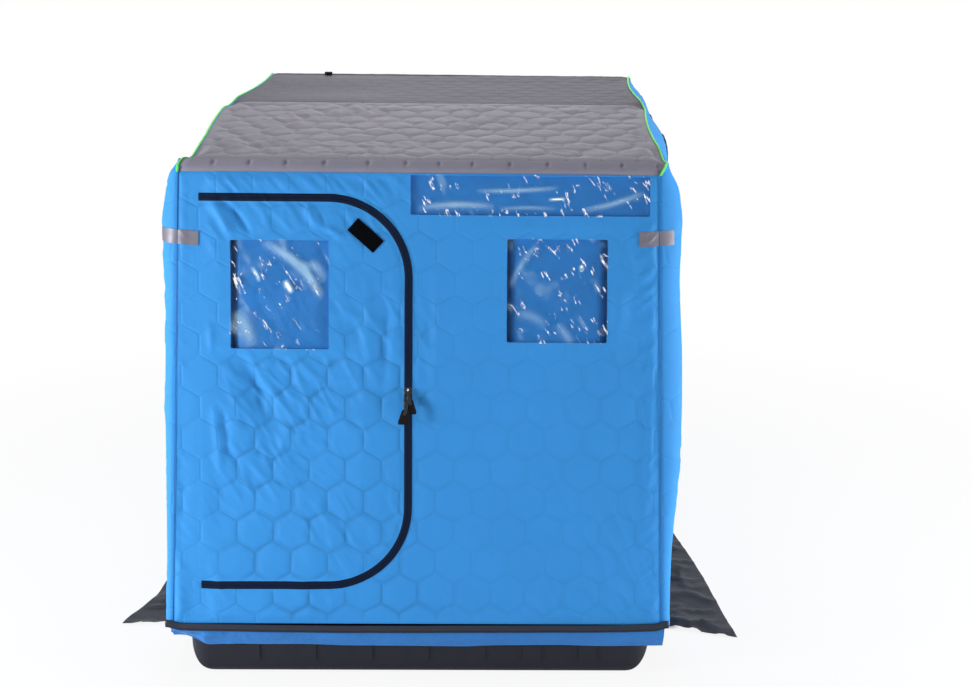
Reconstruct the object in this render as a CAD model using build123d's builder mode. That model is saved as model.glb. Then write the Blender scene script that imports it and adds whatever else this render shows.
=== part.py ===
from build123d import *
from math import atan2, cos, radians, sin, tan
import os

# Flip-over ice fishing hut: a quilted fabric shell on four tube hoops, which are
# pinned to the ends of a moulded sled. +X is to the right as seen from behind,
# +Y runs from the sled wall to the front wall, +Z is up. All sizes in millimetres.

# ---- sizes that can be set by themselves ----
HALF_BASE = 800          # half the hut's width at the rear base seam
NARROWING = 0.0233       # how much each side wall leans in for each mm of height
WIDENING = 0.028         # how much each side wall spreads for each mm of depth
HUT_DEPTH = 2480         # rear base seam to the foot of the front wall
BASE_HEIGHT = 210        # rear base seam above the ground
EAVES_HEIGHT = 1670      # corner of the rear wall and the roof
EAVES_INSET = 197        # how far that corner stands in from the rear base seam
RIDGE_HEIGHT = 1795      # line where the two roof panels meet
RIDGE_DEPTH = 1100
FRONT_HEIGHT = 1878      # corner of the roof and the front wall
FRONT_DEPTH = 2093
SIDE_LIFT_DEPTH = 385    # where the side wall's foot leaves the ground for the sled
SLEEVE_RADIUS = 60       # rounding of the two sleeve corners
FABRIC = 8               # quilted, insulated fabric
SEAT = 0.3               # clearance between pieces that rest on each other
SWING_GAP = 5            # clearance round what moves

DOOR_HINGE_X = -694
DOOR_EDGE_X = -36        # centre line of the zipper beside the door
DOOR_TOP = 1558
DOOR_BOTTOM = 335
DOOR_CORNER = 250
HINGE_CORD_RADIUS = 4
ZIP_WIDTH = 28           # both tapes with the gap between them
ZIP_THICKNESS = 3
PLACKET_WIDTH = 60
PLACKET_THICKNESS = 3
SLIDER_HEIGHT = 908      # where the two sliders meet
SLIDER_LENGTH, SLIDER_WIDTH, SLIDER_THICKNESS = 24, 20, 5
PULL_LENGTH, PULL_WIDTH, PULL_THICKNESS = 62, 15, 3
TAB_LENGTH, TAB_WIDTH, TAB_ANGLE = 106, 50, -42
TAB_X, TAB_HEIGHT = -166, 1432

WINDOW_WIDTH, WINDOW_HEIGHT = 312, 330
DOOR_WINDOW_X, WINDOW_CENTRE = -434, 1255
REAR_WINDOW_X = 428
SIDE_WINDOW_DEPTH = 1000
SIDE_DOOR_NEAR, SIDE_DOOR_FAR, SIDE_DOOR_FOOT = 620, 1380, 290
SIDE_DOOR_BELOW, SIDE_DOOR_CORNER = 62, 200
FRONT_WINDOW_X = 420
STRIP_LEFT, STRIP_RIGHT, STRIP_BOTTOM = -25, 719, 1499
STRIP_TOP_MARGIN = 14
PANE = 1.5
PANE_LAP = 12            # how far a pane laps over the edge of its opening
COVER = 3
COVER_LAP = 20

SLED_LENGTH, SLED_DEPTH, SLED_HEIGHT = 1516, 900, 330
SLED_WALL, SLED_CORNER, SLED_BOTTOM_RADIUS, SLED_END_RADIUS = 6, 76, 40, 118
SLED_DRAFT = 2
SLED_INSET = 50          # rear base seam to the sled's rim
LIP_WIDTH, LIP_HEIGHT = 8, 12
RIB_WIDTH, RIB_PITCH, RIB_STAND, RIB_COUNT = 59, 182, 5, 7
RIB_FOOT, RIB_HEAD = 52, 292

TUBE_RADIUS, TUBE_BEND = 12.5, 90
PIN_RADIUS, PIN_CLEARANCE = 5, 0.2
PIVOT_PITCH, PIVOT_HEIGHT, FIRST_PIVOT = 60, 268, 420
BRACKET_THICKNESS, BRACKET_WIDTH, BRACKET_TALL = 10, 250, 78
LEG_SIDE_GAP = 3         # tube to side wall at the top of each hoop

HEM_FOOT = 120            # lower edge of the hem above the ground
HEM_THICKNESS, HEM_END = 4, 40
BASE_ZIP_HEIGHT, BASE_ZIP_THICKNESS = 24, 8

SKIRT_THICKNESS = 3
FRONT_SKIRT = 150
SKIRT_REAR_WIDTH, SKIRT_MID_WIDTH, SKIRT_FRONT_WIDTH = 254, 138, 120
SKIRT_MID_DEPTH = 1200

PIPING_RADIUS = 4
PATCH_WIDTH, PATCH_HEIGHT, PATCH_THICKNESS = 68, 60, 1.5
PATCH_CENTRE = 1436
ROOF_TAB_X = -563
TAB_LOOP_LENGTH, TAB_LOOP_HEIGHT, TAB_LOOP_WIDTH = 34, 16, 32

# ---- places worked out from them ----
REAR_Y = -(HUT_DEPTH + FRONT_SKIRT - BASE_ZIP_THICKNESS) / 2
GROUND = SKIRT_THICKNESS


def place(depth, height):
    """A point of the side profile, from its depth behind the rear base seam."""
    return Vector(0, REAR_Y + depth, height)


base_seam = place(0, BASE_HEIGHT)
eaves = place(EAVES_INSET, EAVES_HEIGHT)
ridge = place(RIDGE_DEPTH, RIDGE_HEIGHT)
brow = place(FRONT_DEPTH, FRONT_HEIGHT)
front_foot = place(HUT_DEPTH, GROUND)
lift_point = place(SIDE_LIFT_DEPTH, GROUND)


def half_width(point):
    """Half the hut's outer width at a point of the profile."""
    return HALF_BASE - NARROWING * (point.Z - BASE_HEIGHT) + WIDENING * (point.Y - REAR_Y)


def inner_half_width(point):
    """Half the room between the two side walls, less the seat clearance."""
    return half_width(point) - FABRIC * 1.001 - SEAT


def panel_plane(start, end):
    """The outer plane of a panel: local x is +X, local y runs from start to end."""
    along = (end - start).normalized()
    return Plane(origin=start, x_dir=(1, 0, 0), z_dir=Vector(1, 0, 0).cross(along))


def side_plane(side, inset=0.0):
    """The outer plane of a side wall, moved in by inset; side is 1 or -1."""
    normal = Vector(side, -WIDENING, NARROWING).normalized()
    origin = Vector(side * half_width(base_seam), base_seam.Y, base_seam.Z)
    return Plane(origin=origin - normal * inset, x_dir=(0, 1, 0), z_dir=normal)


def save(part, label):
    part.label = label
    export_step(part, f"parts/{label}.step")


os.makedirs("parts", exist_ok=True)

# ---- the rear wall's own plane: local x is +X, local y is measured up the wall ----
wall = panel_plane(base_seam, eaves)
LEAN = atan2(EAVES_INSET, EAVES_HEIGHT - BASE_HEIGHT)


def up_wall(height):
    """Distance up the rear wall's plane to a height above the ground."""
    return (height - BASE_HEIGHT) / cos(LEAN)


def corner_setback(before, corner, after):
    """Length from a corner to where its rounding begins."""
    turn = (corner - before).get_angle(after - corner)
    return SLEEVE_RADIUS * tan(radians(turn / 2))


rear_setback = corner_setback(base_seam, eaves, ridge)
brow_setback = corner_setback(ridge, brow, front_foot)
seam_up = (eaves - base_seam).length - rear_setback
seam_height = BASE_HEIGHT + seam_up * cos(LEAN)

# ---- outlines in the rear wall's plane ----
door_low, door_high = up_wall(DOOR_BOTTOM), up_wall(DOOR_TOP)
leaf_left = DOOR_HINGE_X + HINGE_CORD_RADIUS + SEAT
strip_right = DOOR_HINGE_X - HINGE_CORD_RADIUS - SEAT
tape_gap = SWING_GAP / 2
cut_right = DOOR_EDGE_X + tape_gap
strip_high = seam_up - STRIP_TOP_MARGIN
strip_low = up_wall(STRIP_BOTTOM)
strip_centre = ((STRIP_LEFT + STRIP_RIGHT) / 2, (strip_low + strip_high) / 2)
strip_size = (STRIP_RIGHT - STRIP_LEFT, strip_high - strip_low)
window_up = up_wall(WINDOW_CENTRE)
window_size = (WINDOW_WIDTH, WINDOW_HEIGHT)


def outline(points):
    """A flat outline with straight edges, drawn on its own XY plane."""
    with BuildSketch() as shape:
        with BuildLine():
            Polyline(*points, close=True)
        make_face()
    return shape.sketch


def door_outline(grow, left):
    """The door's D shape, grown outwards on its three zipper sides."""
    right = DOOR_EDGE_X + grow
    low, high = door_low - grow, door_high + grow
    with BuildSketch() as shape:
        with BuildLine():
            Polyline((left, low), (right, low), (right, high), (left, high), close=True)
        make_face()
        fillet(shape.vertices().group_by(Axis.X)[-1], radius=DOOR_CORNER + grow)
    return shape.sketch


def sheet(plane, face, cuts=(), low=-FABRIC, high=0.0):
    """A sheet with the face's outline, between two offsets from a plane."""
    with BuildPart() as piece:
        with BuildSketch(plane.offset(low)):
            add(face)
            for cut in cuts:
                add(cut, mode=Mode.SUBTRACT)
        extrude(amount=high - low)
    return piece.part


def window(centre, size, grow):
    """A window's rounded outline, grown by a lap or shrunk by a negative one."""
    with BuildSketch() as shape:
        with Locations(centre):
            RectangleRounded(size[0] + 2 * grow, size[1] + 2 * grow, PANE_LAP)
    return shape.sketch


def wall_half(up):
    """Half the rear wall's own width at a distance up the wall."""
    return inner_half_width(base_seam + (eaves - base_seam).normalized() * up)


# ---- rear wall: left strip, under the door, over the door, right of the door ----
def rear_wall_left():
    corners = [
        (-wall_half(0), 0),
        (strip_right, 0),
        (strip_right, seam_up),
        (-wall_half(seam_up), seam_up),
    ]
    save(sheet(wall, outline(corners)), "rear_wall_left")


def rear_wall_beside_corners():
    for label, low, high in (
        ("rear_wall_under_door", 0, door_low + DOOR_CORNER),
        ("rear_wall_over_door", door_high - DOOR_CORNER, seam_up),
    ):
        corners = [(strip_right, low), (cut_right, low), (cut_right, high), (strip_right, high)]
        door_cut = door_outline(tape_gap, strip_right - FABRIC)
        save(sheet(wall, outline(corners), [door_cut]), label)


def rear_wall_right():
    corners = [
        (cut_right, 0),
        (wall_half(0), 0),
        (wall_half(seam_up), seam_up),
        (cut_right, seam_up),
    ]
    cuts = [
        window((REAR_WINDOW_X, window_up), window_size, -PANE_LAP),
        window(strip_centre, strip_size, -PANE_LAP),
    ]
    save(sheet(wall, outline(corners), cuts), "rear_wall_right")


def rear_glazing():
    """Clear panes sewn over the rear wall's two openings, and covers behind them."""
    with BuildPart() as panes:
        add(sheet(wall, window((REAR_WINDOW_X, window_up), window_size, 0), (), 0, PANE))
        add(sheet(wall, window(strip_centre, strip_size, 0), (), 0, PANE))
    save(panes.part, "rear_window_panes")
    back = -FABRIC - SEAT
    with BuildPart() as covers:
        lap = COVER_LAP - PANE_LAP
        add(sheet(wall, window((REAR_WINDOW_X, window_up), window_size, lap), (), back - COVER, back))
        add(sheet(wall, window(strip_centre, strip_size, 0), (), back - COVER, back))
    save(covers.part, "rear_window_covers")


# ---- door: a leaf with its own window, swinging on a cord sewn in its left edge ----
def door():
    centre = (DOOR_WINDOW_X, window_up)
    leaf = door_outline(-tape_gap, leaf_left)
    save(sheet(wall, leaf, [window(centre, window_size, -PANE_LAP)]), "door_panel")
    save(sheet(wall, window(centre, window_size, 0), (), 0, PANE), "door_window_pane")
    back = -FABRIC - SEAT
    cover = window(centre, window_size, COVER_LAP - PANE_LAP)
    save(sheet(wall, cover, (), back - COVER, back), "door_window_cover")

    with BuildPart() as hinge_cord:
        foot = wall.from_local_coords(Vector(DOOR_HINGE_X, door_low, 0))
        with BuildSketch(Plane(origin=foot, x_dir=(1, 0, 0), z_dir=wall.y_dir)):
            Circle(HINGE_CORD_RADIUS)
        extrude(amount=door_high - door_low)
    save(hinge_cord.part, "door_hinge_cord")

    with BuildPart() as tab:
        with BuildSketch(wall):
            with Locations(Location((TAB_X, up_wall(TAB_HEIGHT), 0), (0, 0, TAB_ANGLE))):
                RectangleRounded(TAB_LENGTH, TAB_WIDTH, 3)
        extrude(amount=ZIP_THICKNESS)
    save(tab.part, "door_strap_tab")


def door_zipper():
    """Zipper tapes on the wall and on the leaf, and a placket behind them."""
    half_zip = ZIP_WIDTH / 2
    wall_side = door_outline(half_zip, strip_right)
    wall_gap = door_outline(tape_gap, strip_right - 1)
    save(sheet(wall, wall_side, [wall_gap], 0, ZIP_THICKNESS), "door_zipper_wall_side")
    door_side = door_outline(-tape_gap, leaf_left)
    door_inner = door_outline(-half_zip, leaf_left - 1)
    save(sheet(wall, door_side, [door_inner], 0, ZIP_THICKNESS), "door_zipper_door_side")

    half_placket = PLACKET_WIDTH / 2
    seat = -FABRIC - SEAT
    face = -FABRIC - SWING_GAP
    back = face - PLACKET_THICKNESS
    outer = door_outline(half_placket, leaf_left)
    with BuildPart() as placket:
        add(sheet(wall, outer, [door_outline(-half_placket, leaf_left - 1)], back, face))
        add(sheet(wall, outer, [door_outline(SWING_GAP, leaf_left - 1)], back, seat))
    save(placket.part, "door_placket")


def zipper_sliders():
    """Two sliders that meet beside the door, each with its pull hanging down."""
    with BuildPart() as sliders:
        for step in (-SLIDER_LENGTH / 2 - 1, SLIDER_LENGTH / 2 + 1):
            up = up_wall(SLIDER_HEIGHT) + step
            with BuildSketch(wall.offset(ZIP_THICKNESS + SEAT)):
                with Locations((DOOR_EDGE_X - ZIP_WIDTH / 4, up)):
                    Rectangle(ZIP_WIDTH / 2 - tape_gap, SLIDER_LENGTH)
            extrude(amount=SWING_GAP)
            with BuildSketch(wall.offset(ZIP_THICKNESS + SWING_GAP)):
                with Locations((DOOR_EDGE_X, up)):
                    RectangleRounded(SLIDER_WIDTH, SLIDER_LENGTH, 5)
            extrude(amount=SLIDER_THICKNESS)
        with BuildSketch(wall.offset(ZIP_THICKNESS + SWING_GAP + SLIDER_THICKNESS)):
            with Locations((DOOR_EDGE_X, up_wall(SLIDER_HEIGHT) - PULL_LENGTH / 2)):
                RectangleRounded(PULL_WIDTH, PULL_LENGTH, PULL_WIDTH / 2.1)
        extrude(amount=PULL_THICKNESS)
    save(sliders.part, "door_zipper_sliders")


# ---- side walls: the whole side profile, with a window each ----
def side_profile():
    """The side wall's outline in depth and height, rounded at the two sleeves."""
    corners = [(p.Y, p.Z) for p in (base_seam, eaves, ridge, brow, front_foot, lift_point)]
    with BuildSketch() as shape:
        with BuildLine():
            Polyline(*corners, close=True)
        make_face()
        by_height = shape.vertices().sort_by(Axis.Y)
        brow_vertex = by_height[-1]
        eaves_vertex = shape.vertices().sort_by_distance((eaves.Y, eaves.Z))[0]
        fillet([eaves_vertex, brow_vertex], radius=SLEEVE_RADIUS)
    return shape.sketch


def side_sheet(side, face, cuts=(), low=-FABRIC, high=0.0):
    """A sheet in a side wall, cut between two planes parallel to that wall."""
    reach = 4 * HALF_BASE
    with BuildPart() as piece:
        with BuildSketch(Plane.YZ):
            add(face)
            for cut in cuts:
                add(cut, mode=Mode.SUBTRACT)
        extrude(amount=side * reach)
        split(bisect_by=side_plane(side, -high), keep=Keep.BOTTOM)
        split(bisect_by=side_plane(side, -low), keep=Keep.TOP)
    return piece.part


def side_walls():
    centre = (REAR_Y + SIDE_WINDOW_DEPTH, WINDOW_CENTRE)
    for side, name in ((-1, "left"), (1, "right")):
        cut = window(centre, window_size, -PANE_LAP)
        save(side_sheet(side, side_profile(), [cut]), f"side_wall_{name}")
    with BuildPart() as panes:
        for side in (-1, 1):
            add(side_sheet(side, window(centre, window_size, 0), (), 0, PANE))
    save(panes.part, "side_window_panes")
    back = -FABRIC - SEAT
    with BuildPart() as covers:
        for side in (-1, 1):
            cover = window(centre, window_size, COVER_LAP - PANE_LAP)
            add(side_sheet(side, cover, (), back - COVER, back))
    save(covers.part, "side_window_covers")


def side_door_outline(grow):
    """A closed side door's outline in depth and height, under the roof's slope."""
    near, far = REAR_Y + SIDE_DOOR_NEAR, REAR_Y + SIDE_DOOR_FAR
    slope = (RIDGE_HEIGHT - EAVES_HEIGHT) / (RIDGE_DEPTH - EAVES_INSET)
    far_top = RIDGE_HEIGHT - SIDE_DOOR_BELOW + slope * (SIDE_DOOR_FAR - RIDGE_DEPTH)
    near_top = far_top - slope * (far - near)
    with BuildSketch() as shape:
        with BuildLine():
            Polyline(
                (near - grow, SIDE_DOOR_FOOT - grow),
                (far + grow, SIDE_DOOR_FOOT - grow),
                (far + grow, far_top + grow),
                (near - grow, near_top + grow),
                close=True,
            )
        make_face()
        fillet(shape.vertices(), radius=SIDE_DOOR_CORNER + grow)
    return shape.sketch


def side_door_zippers():
    """Zipper bands round the closed door in each side wall."""
    half_zip = ZIP_WIDTH / 2
    with BuildPart() as bands:
        for side in (-1, 1):
            cut = side_door_outline(-half_zip)
            add(side_sheet(side, side_door_outline(half_zip), [cut], SEAT / 6, ZIP_THICKNESS))
    save(bands.part, "side_door_zippers")


# ---- roof, front wall and the two sleeves that hold the outer hoops ----
def panel_outline(start, end, begin=0.0, finish=0.0):
    """The outline of a panel from side wall to side wall, in its own plane."""
    along = (end - start).normalized()
    length = (end - start).length
    low_half = inner_half_width(start + along * begin)
    high_half = inner_half_width(start + along * (length - finish))
    return outline(
        [
            (-low_half, begin),
            (low_half, begin),
            (high_half, length - finish),
            (-high_half, length - finish),
        ]
    )


def roof_panels():
    """Two roof panels that meet in a mitre at the ridge."""
    turn = (ridge - eaves).get_angle(brow - ridge)
    mitre = FABRIC * tan(radians(turn / 2)) + SEAT / 2
    rear = panel_outline(eaves, ridge, rear_setback, mitre)
    save(sheet(panel_plane(eaves, ridge), rear), "roof_rear_panel")
    front = panel_outline(ridge, brow, mitre, brow_setback)
    save(sheet(panel_plane(ridge, brow), front), "roof_front_panel")


def front_wall():
    plane = panel_plane(brow, front_foot)
    down = (front_foot - brow).length
    level = down * (FRONT_HEIGHT - WINDOW_CENTRE) / (FRONT_HEIGHT - GROUND)
    centres = [(side * FRONT_WINDOW_X, level) for side in (-1, 1)]
    cuts = [window(centre, window_size, -PANE_LAP) for centre in centres]
    trim = FABRIC * (HUT_DEPTH - FRONT_DEPTH) / (FRONT_HEIGHT - GROUND) + SEAT
    save(sheet(plane, panel_outline(brow, front_foot, brow_setback, trim), cuts), "front_wall")
    back = -FABRIC - SEAT
    with BuildPart() as panes:
        for centre in centres:
            add(sheet(plane, window(centre, window_size, 0), (), 0, PANE))
    save(panes.part, "front_window_panes")
    with BuildPart() as covers:
        for centre in centres:
            cover = window(centre, window_size, COVER_LAP - PANE_LAP)
            add(sheet(plane, cover, (), back - COVER, back))
    save(covers.part, "front_window_covers")


def sleeve(before, corner, after, label):
    """A rounded band of fabric that wraps a hoop's crossbar at a corner."""
    setback = corner_setback(before, corner, after)
    near = corner + (before - corner).normalized() * setback
    far = corner + (after - corner).normalized() * setback
    middle = (near + far) / 2
    inward = (middle - corner).normalized()
    turn = radians((corner - before).get_angle(after - corner))
    centre = corner + inward * (SLEEVE_RADIUS / cos(turn / 2))
    outer = centre - inward * SLEEVE_RADIUS
    inner_near = centre + (near - centre) * (1 - FABRIC / SLEEVE_RADIUS)
    inner_far = centre + (far - centre) * (1 - FABRIC / SLEEVE_RADIUS)
    inner = centre - inward * (SLEEVE_RADIUS - FABRIC)
    flat = [Vector(p.Y, p.Z) for p in (near, outer, far, inner_far, inner, inner_near)]
    with BuildPart() as band:
        with BuildSketch(Plane.YZ):
            with BuildLine():
                ThreePointArc(flat[0], flat[1], flat[2])
                Line(flat[2], flat[3])
                ThreePointArc(flat[3], flat[4], flat[5])
                Line(flat[5], flat[0])
            make_face()
        extrude(amount=2 * HALF_BASE, both=True)
        for side in (-1, 1):
            split(bisect_by=side_plane(side, FABRIC + SEAT), keep=Keep.BOTTOM)
    save(band.part, label)


# ---- lime piping along the roof's side edges ----
def piping():
    """A cord along each side edge of the roof, from sleeve to sleeve."""
    stand = PIPING_RADIUS + SEAT
    for side, name in ((-1, "left"), (1, "right")):
        route = []
        for before, corner, after in (
            (base_seam, eaves, ridge),
            (eaves, ridge, brow),
            (ridge, brow, front_foot),
        ):
            turn = radians((corner - before).get_angle(after - corner))
            lift = (corner - before).normalized() - (after - corner).normalized()
            point = corner + lift.normalized() * (stand / cos(turn / 2))
            route.append(Vector(side * (half_width(point) - FABRIC / 2), point.Y, point.Z))
        start = route[0] + (base_seam - eaves).normalized() * (rear_setback + stand)
        finish = route[-1] + (front_foot - brow).normalized() * (brow_setback + stand)
        start = Vector(side * (half_width(start) - FABRIC / 2), start.Y, start.Z)
        finish = Vector(side * (half_width(finish) - FABRIC / 2), finish.Y, finish.Z)
        bend = SLEEVE_RADIUS + stand
        with BuildPart() as cord:
            with BuildLine() as path:
                FilletPolyline(start, *route, finish, radius=[bend, bend, bend])
            with BuildSketch(Plane(origin=path.line @ 0, z_dir=path.line % 0)):
                Circle(PIPING_RADIUS)
            sweep()
        save(cord.part, f"roof_piping_{name}")


# ---- tube hoops, pinned side by side to a bracket on each end of the sled ----
sled_end = SLED_LENGTH / 2
bar_inset = FABRIC + SEAT + TUBE_RADIUS


def pivot(number):
    """The pin of a hoop, counted from the sled wall's side."""
    return place(FIRST_PIVOT + number * PIVOT_PITCH, PIVOT_HEIGHT)


def inside_corner(before, corner, after, inset):
    """The point inside a corner that lies an inset from both of its panels."""
    turn = radians((corner - before).get_angle(after - corner))
    lift = (corner - before).normalized() - (after - corner).normalized()
    return corner - lift.normalized() * (inset / cos(turn / 2))


def inside_sleeve(before, corner, after):
    """The crossbar's centre where it touches the inside of a sleeve."""
    turn = radians((corner - before).get_angle(after - corner))
    lift = (corner - before).normalized() - (after - corner).normalized()
    centre = corner - lift.normalized() * (SLEEVE_RADIUS / cos(turn / 2))
    return centre + lift.normalized() * (SLEEVE_RADIUS - bar_inset)


def bar_end(bar):
    """Where the centre line of a leg meets that of its crossbar, from the middle."""
    return half_width(bar) - FABRIC - LEG_SIDE_GAP - TUBE_RADIUS


floor_end = Vector(0, lift_point.Y, -SEAT)
ground_corner = Vector(0, front_foot.Y, 0) + (front_foot - brow).normalized() * GROUND
bars = {
    "rear_hoop": inside_sleeve(base_seam, eaves, ridge),
    "middle_hoop": inside_corner(eaves, ridge, brow, bar_inset),
    "front_hoop": inside_sleeve(ridge, brow, front_foot),
    "ground_hoop": inside_corner(brow, ground_corner, floor_end, bar_inset),
}
upright_x = sled_end + BRACKET_THICKNESS + SEAT + TUBE_RADIUS
steepest = max(
    abs(bar_end(bar) - upright_x) / (bar - pivot(number)).length
    for number, bar in enumerate(bars.values())
)
leg_x = upright_x + steepest * BRACKET_TALL / 2


def hoop(number, bar, label):
    """A tube hoop: two legs from their pins up to a crossbar."""
    foot = pivot(number)
    rise = (bar - foot).normalized()
    length = (bar - foot).length
    top_x = bar_end(bar)
    frame = Plane(origin=foot, x_dir=(1, 0, 0), z_dir=Vector(1, 0, 0).cross(rise))
    tail = TUBE_RADIUS + LIP_HEIGHT / 2
    tail_x = leg_x - (top_x - leg_x) * tail / length
    with BuildPart() as tube:
        with BuildLine(frame) as path:
            FilletPolyline((tail_x, -tail), (top_x, length), (0, length), radius=TUBE_BEND)
        with BuildSketch(Plane(origin=path.line @ 0, z_dir=path.line % 0)):
            Circle(TUBE_RADIUS)
        sweep()
        mirror(about=Plane.YZ)
        with BuildSketch(Plane.YZ.offset(-2 * leg_x)):
            with Locations((foot.Y, foot.Z)):
                Circle(PIN_RADIUS + PIN_CLEARANCE)
        extrude(amount=4 * leg_x, mode=Mode.SUBTRACT)
    save(tube.part, label)


def hoops():
    for number, (label, bar) in enumerate(bars.items()):
        hoop(number, bar, label)


def pivot_brackets():
    """A plate on each end of the sled, with one pin for each hoop."""
    middle = place(FIRST_PIVOT + 1.5 * PIVOT_PITCH, PIVOT_HEIGHT)
    outer = sled_end + BRACKET_THICKNESS
    pin_end = leg_x + TUBE_RADIUS + 2
    for side, name in ((-1, "left"), (1, "right")):
        with BuildPart() as bracket:
            with BuildSketch(Plane.YZ.offset(side * outer)):
                with Locations((middle.Y, middle.Z)):
                    RectangleRounded(BRACKET_WIDTH, BRACKET_TALL, 14)
            extrude(amount=-side * 3 * BRACKET_THICKNESS)
            split(bisect_by=sled_end_plane(side, SEAT), keep=Keep.TOP)
            with BuildSketch(Plane.YZ.offset(side * (outer - 1))):
                with Locations(*[(pivot(n).Y, pivot(n).Z) for n in range(4)]):
                    Circle(PIN_RADIUS)
            extrude(amount=side * (pin_end - outer + 1))
        save(bracket.part, f"pivot_bracket_{name}")


# ---- moulded sled: a drafted tub with ribbed walls and a rolled rim ----
sled_middle = place(SLED_INSET + SLED_DEPTH / 2, 0)


def sled_end_plane(side, out=0.0):
    """The drafted outer plane of one end of the sled."""
    normal = Vector(side * cos(radians(SLED_DRAFT)), 0, -sin(radians(SLED_DRAFT)))
    return Plane(origin=Vector(side * sled_end, sled_middle.Y, SLED_HEIGHT) + normal * out,
                 x_dir=(0, 1, 0), z_dir=normal)


def sled_side_plane(side, out=0.0):
    """The drafted outer plane of one long wall of the sled."""
    normal = Vector(0, side * cos(radians(SLED_DRAFT)), -sin(radians(SLED_DRAFT)))
    origin = Vector(0, sled_middle.Y + side * SLED_DEPTH / 2, SLED_HEIGHT)
    return Plane(origin=origin + normal * out, x_dir=(1, 0, 0), z_dir=normal)


def end_curves(inset, height):
    """The sled's long profile, whose ends sweep up from the ground in a large radius."""
    top = sled_end - inset
    foot = top - height * tan(radians(SLED_DRAFT))
    low = SLED_HEIGHT - height
    with BuildPart() as sweep_up:
        with BuildSketch(Plane.XZ.offset(-sled_middle.Y)) as profile:
            with BuildLine():
                Polyline((-top, SLED_HEIGHT), (top, SLED_HEIGHT), (foot, low), (-foot, low),
                         close=True)
            make_face()
            fillet(profile.vertices().group_by(Axis.Y)[0], radius=SLED_END_RADIUS - inset)
        extrude(amount=SLED_DEPTH, both=True)
    return sweep_up.part


def drafted_box(inset, height):
    """The sled's outer form shrunk by an inset, hanging down from its rim."""
    with BuildPart() as block:
        with BuildSketch(Plane.XY.offset(SLED_HEIGHT)):
            with Locations((0, sled_middle.Y)):
                RectangleRounded(SLED_LENGTH - 2 * inset, SLED_DEPTH - 2 * inset,
                                 SLED_CORNER - inset)
        extrude(amount=-height, taper=SLED_DRAFT)
        bottom = block.faces().sort_by(Axis.Z)[0]
        fillet(bottom.edges(), radius=SLED_BOTTOM_RADIUS - inset)
        add(end_curves(inset, height), mode=Mode.INTERSECT)
    return block.part


def sled():
    rib_length = RIB_HEAD - RIB_FOOT
    rib_centre = SLED_HEIGHT - (RIB_HEAD + RIB_FOOT) / 2
    with BuildPart() as tub:
        add(drafted_box(0, SLED_HEIGHT))
        add(drafted_box(SLED_WALL, SLED_HEIGHT - SLED_WALL), mode=Mode.SUBTRACT)
        with BuildSketch(Plane.XY.offset(SLED_HEIGHT)):
            with Locations((0, sled_middle.Y)):
                RectangleRounded(SLED_LENGTH + 2 * LIP_WIDTH, SLED_DEPTH + 2 * LIP_WIDTH,
                                 SLED_CORNER + LIP_WIDTH)
                RectangleRounded(SLED_LENGTH - 2 * SLED_WALL, SLED_DEPTH - 2 * SLED_WALL,
                                 SLED_CORNER - SLED_WALL, mode=Mode.SUBTRACT)
        extrude(amount=-LIP_HEIGHT)
        for side in (-1, 1):
            face = sled_side_plane(side)
            toward = -1 if face.y_dir.Z > 0 else 1
            with BuildSketch(face.offset(-SLED_WALL / 2)):
                with Locations((0, toward * rib_centre)):
                    with GridLocations(RIB_PITCH, 0, RIB_COUNT, 1):
                        RectangleRounded(RIB_WIDTH, rib_length, RIB_WIDTH / 6)
            extrude(amount=SLED_WALL / 2 + RIB_STAND)
    save(tub.part, "sled_tub")


# ---- hem and base zipper below the rear wall ----
def base():
    """The hem that ties the rear wall to the sled, and the zipper over it."""
    sled_face = SLED_INSET - (SLED_HEIGHT - HEM_FOOT) * tan(radians(SLED_DRAFT))
    hem_top = place(BASE_ZIP_THICKNESS / 2, BASE_HEIGHT - BASE_ZIP_HEIGHT / 2)
    gap = RIB_STAND + HEM_THICKNESS + SEAT
    hem_low = place(SLED_INSET + (SLED_HEIGHT - HEM_FOOT) * tan(radians(SLED_DRAFT)) - gap, HEM_FOOT)
    length = (hem_top - hem_low).length
    wide = HALF_BASE - HEM_END
    face = outline([(-wide, 0), (wide, 0), (wide, length), (-wide, length)])
    save(sheet(panel_plane(hem_low, hem_top), face, (), -HEM_THICKNESS, 0), "rear_hem")
    with BuildPart() as base_zip:
        with BuildSketch(Plane.XZ.offset(-base_seam.Y)):
            with Locations((0, BASE_HEIGHT - BASE_ZIP_HEIGHT / 2 - SEAT)):
                Rectangle(2 * HALF_BASE, BASE_ZIP_HEIGHT)
        extrude(amount=BASE_ZIP_THICKNESS)
    save(base_zip.part, "rear_base_zipper")


# ---- ground skirts along the two side walls and the front ----
def skirts():
    for side, name in ((-1, "left"), (1, "right")):
        foot = half_width(lift_point)
        middle = place(SKIRT_MID_DEPTH, GROUND)
        front = front_foot
        corners = [
            (foot - 2 * FABRIC, lift_point.Y),
            (foot + SKIRT_REAR_WIDTH * 0.4, lift_point.Y - 60),
            (foot + SKIRT_REAR_WIDTH, lift_point.Y - 80),
            (half_width(middle) + SKIRT_MID_WIDTH, middle.Y),
            (half_width(front) + SKIRT_FRONT_WIDTH, front.Y),
            (half_width(front) - 2 * FABRIC, front.Y),
        ]
        face = outline([(side * x, y) for x, y in corners])
        save(sheet(Plane.XY, face, (), 0, SKIRT_THICKNESS - SEAT / 3), f"skirt_{name}")
    wide = half_width(front_foot) + SKIRT_FRONT_WIDTH
    narrow = wide - SKIRT_FRONT_WIDTH * 0.4
    near, far = front_foot.Y + SEAT, front_foot.Y + FRONT_SKIRT
    face = outline([(-wide, near), (wide, near), (narrow, far), (-narrow, far)])
    save(sheet(Plane.XY, face, (), 0, SKIRT_THICKNESS - SEAT / 3), "skirt_front")


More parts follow.
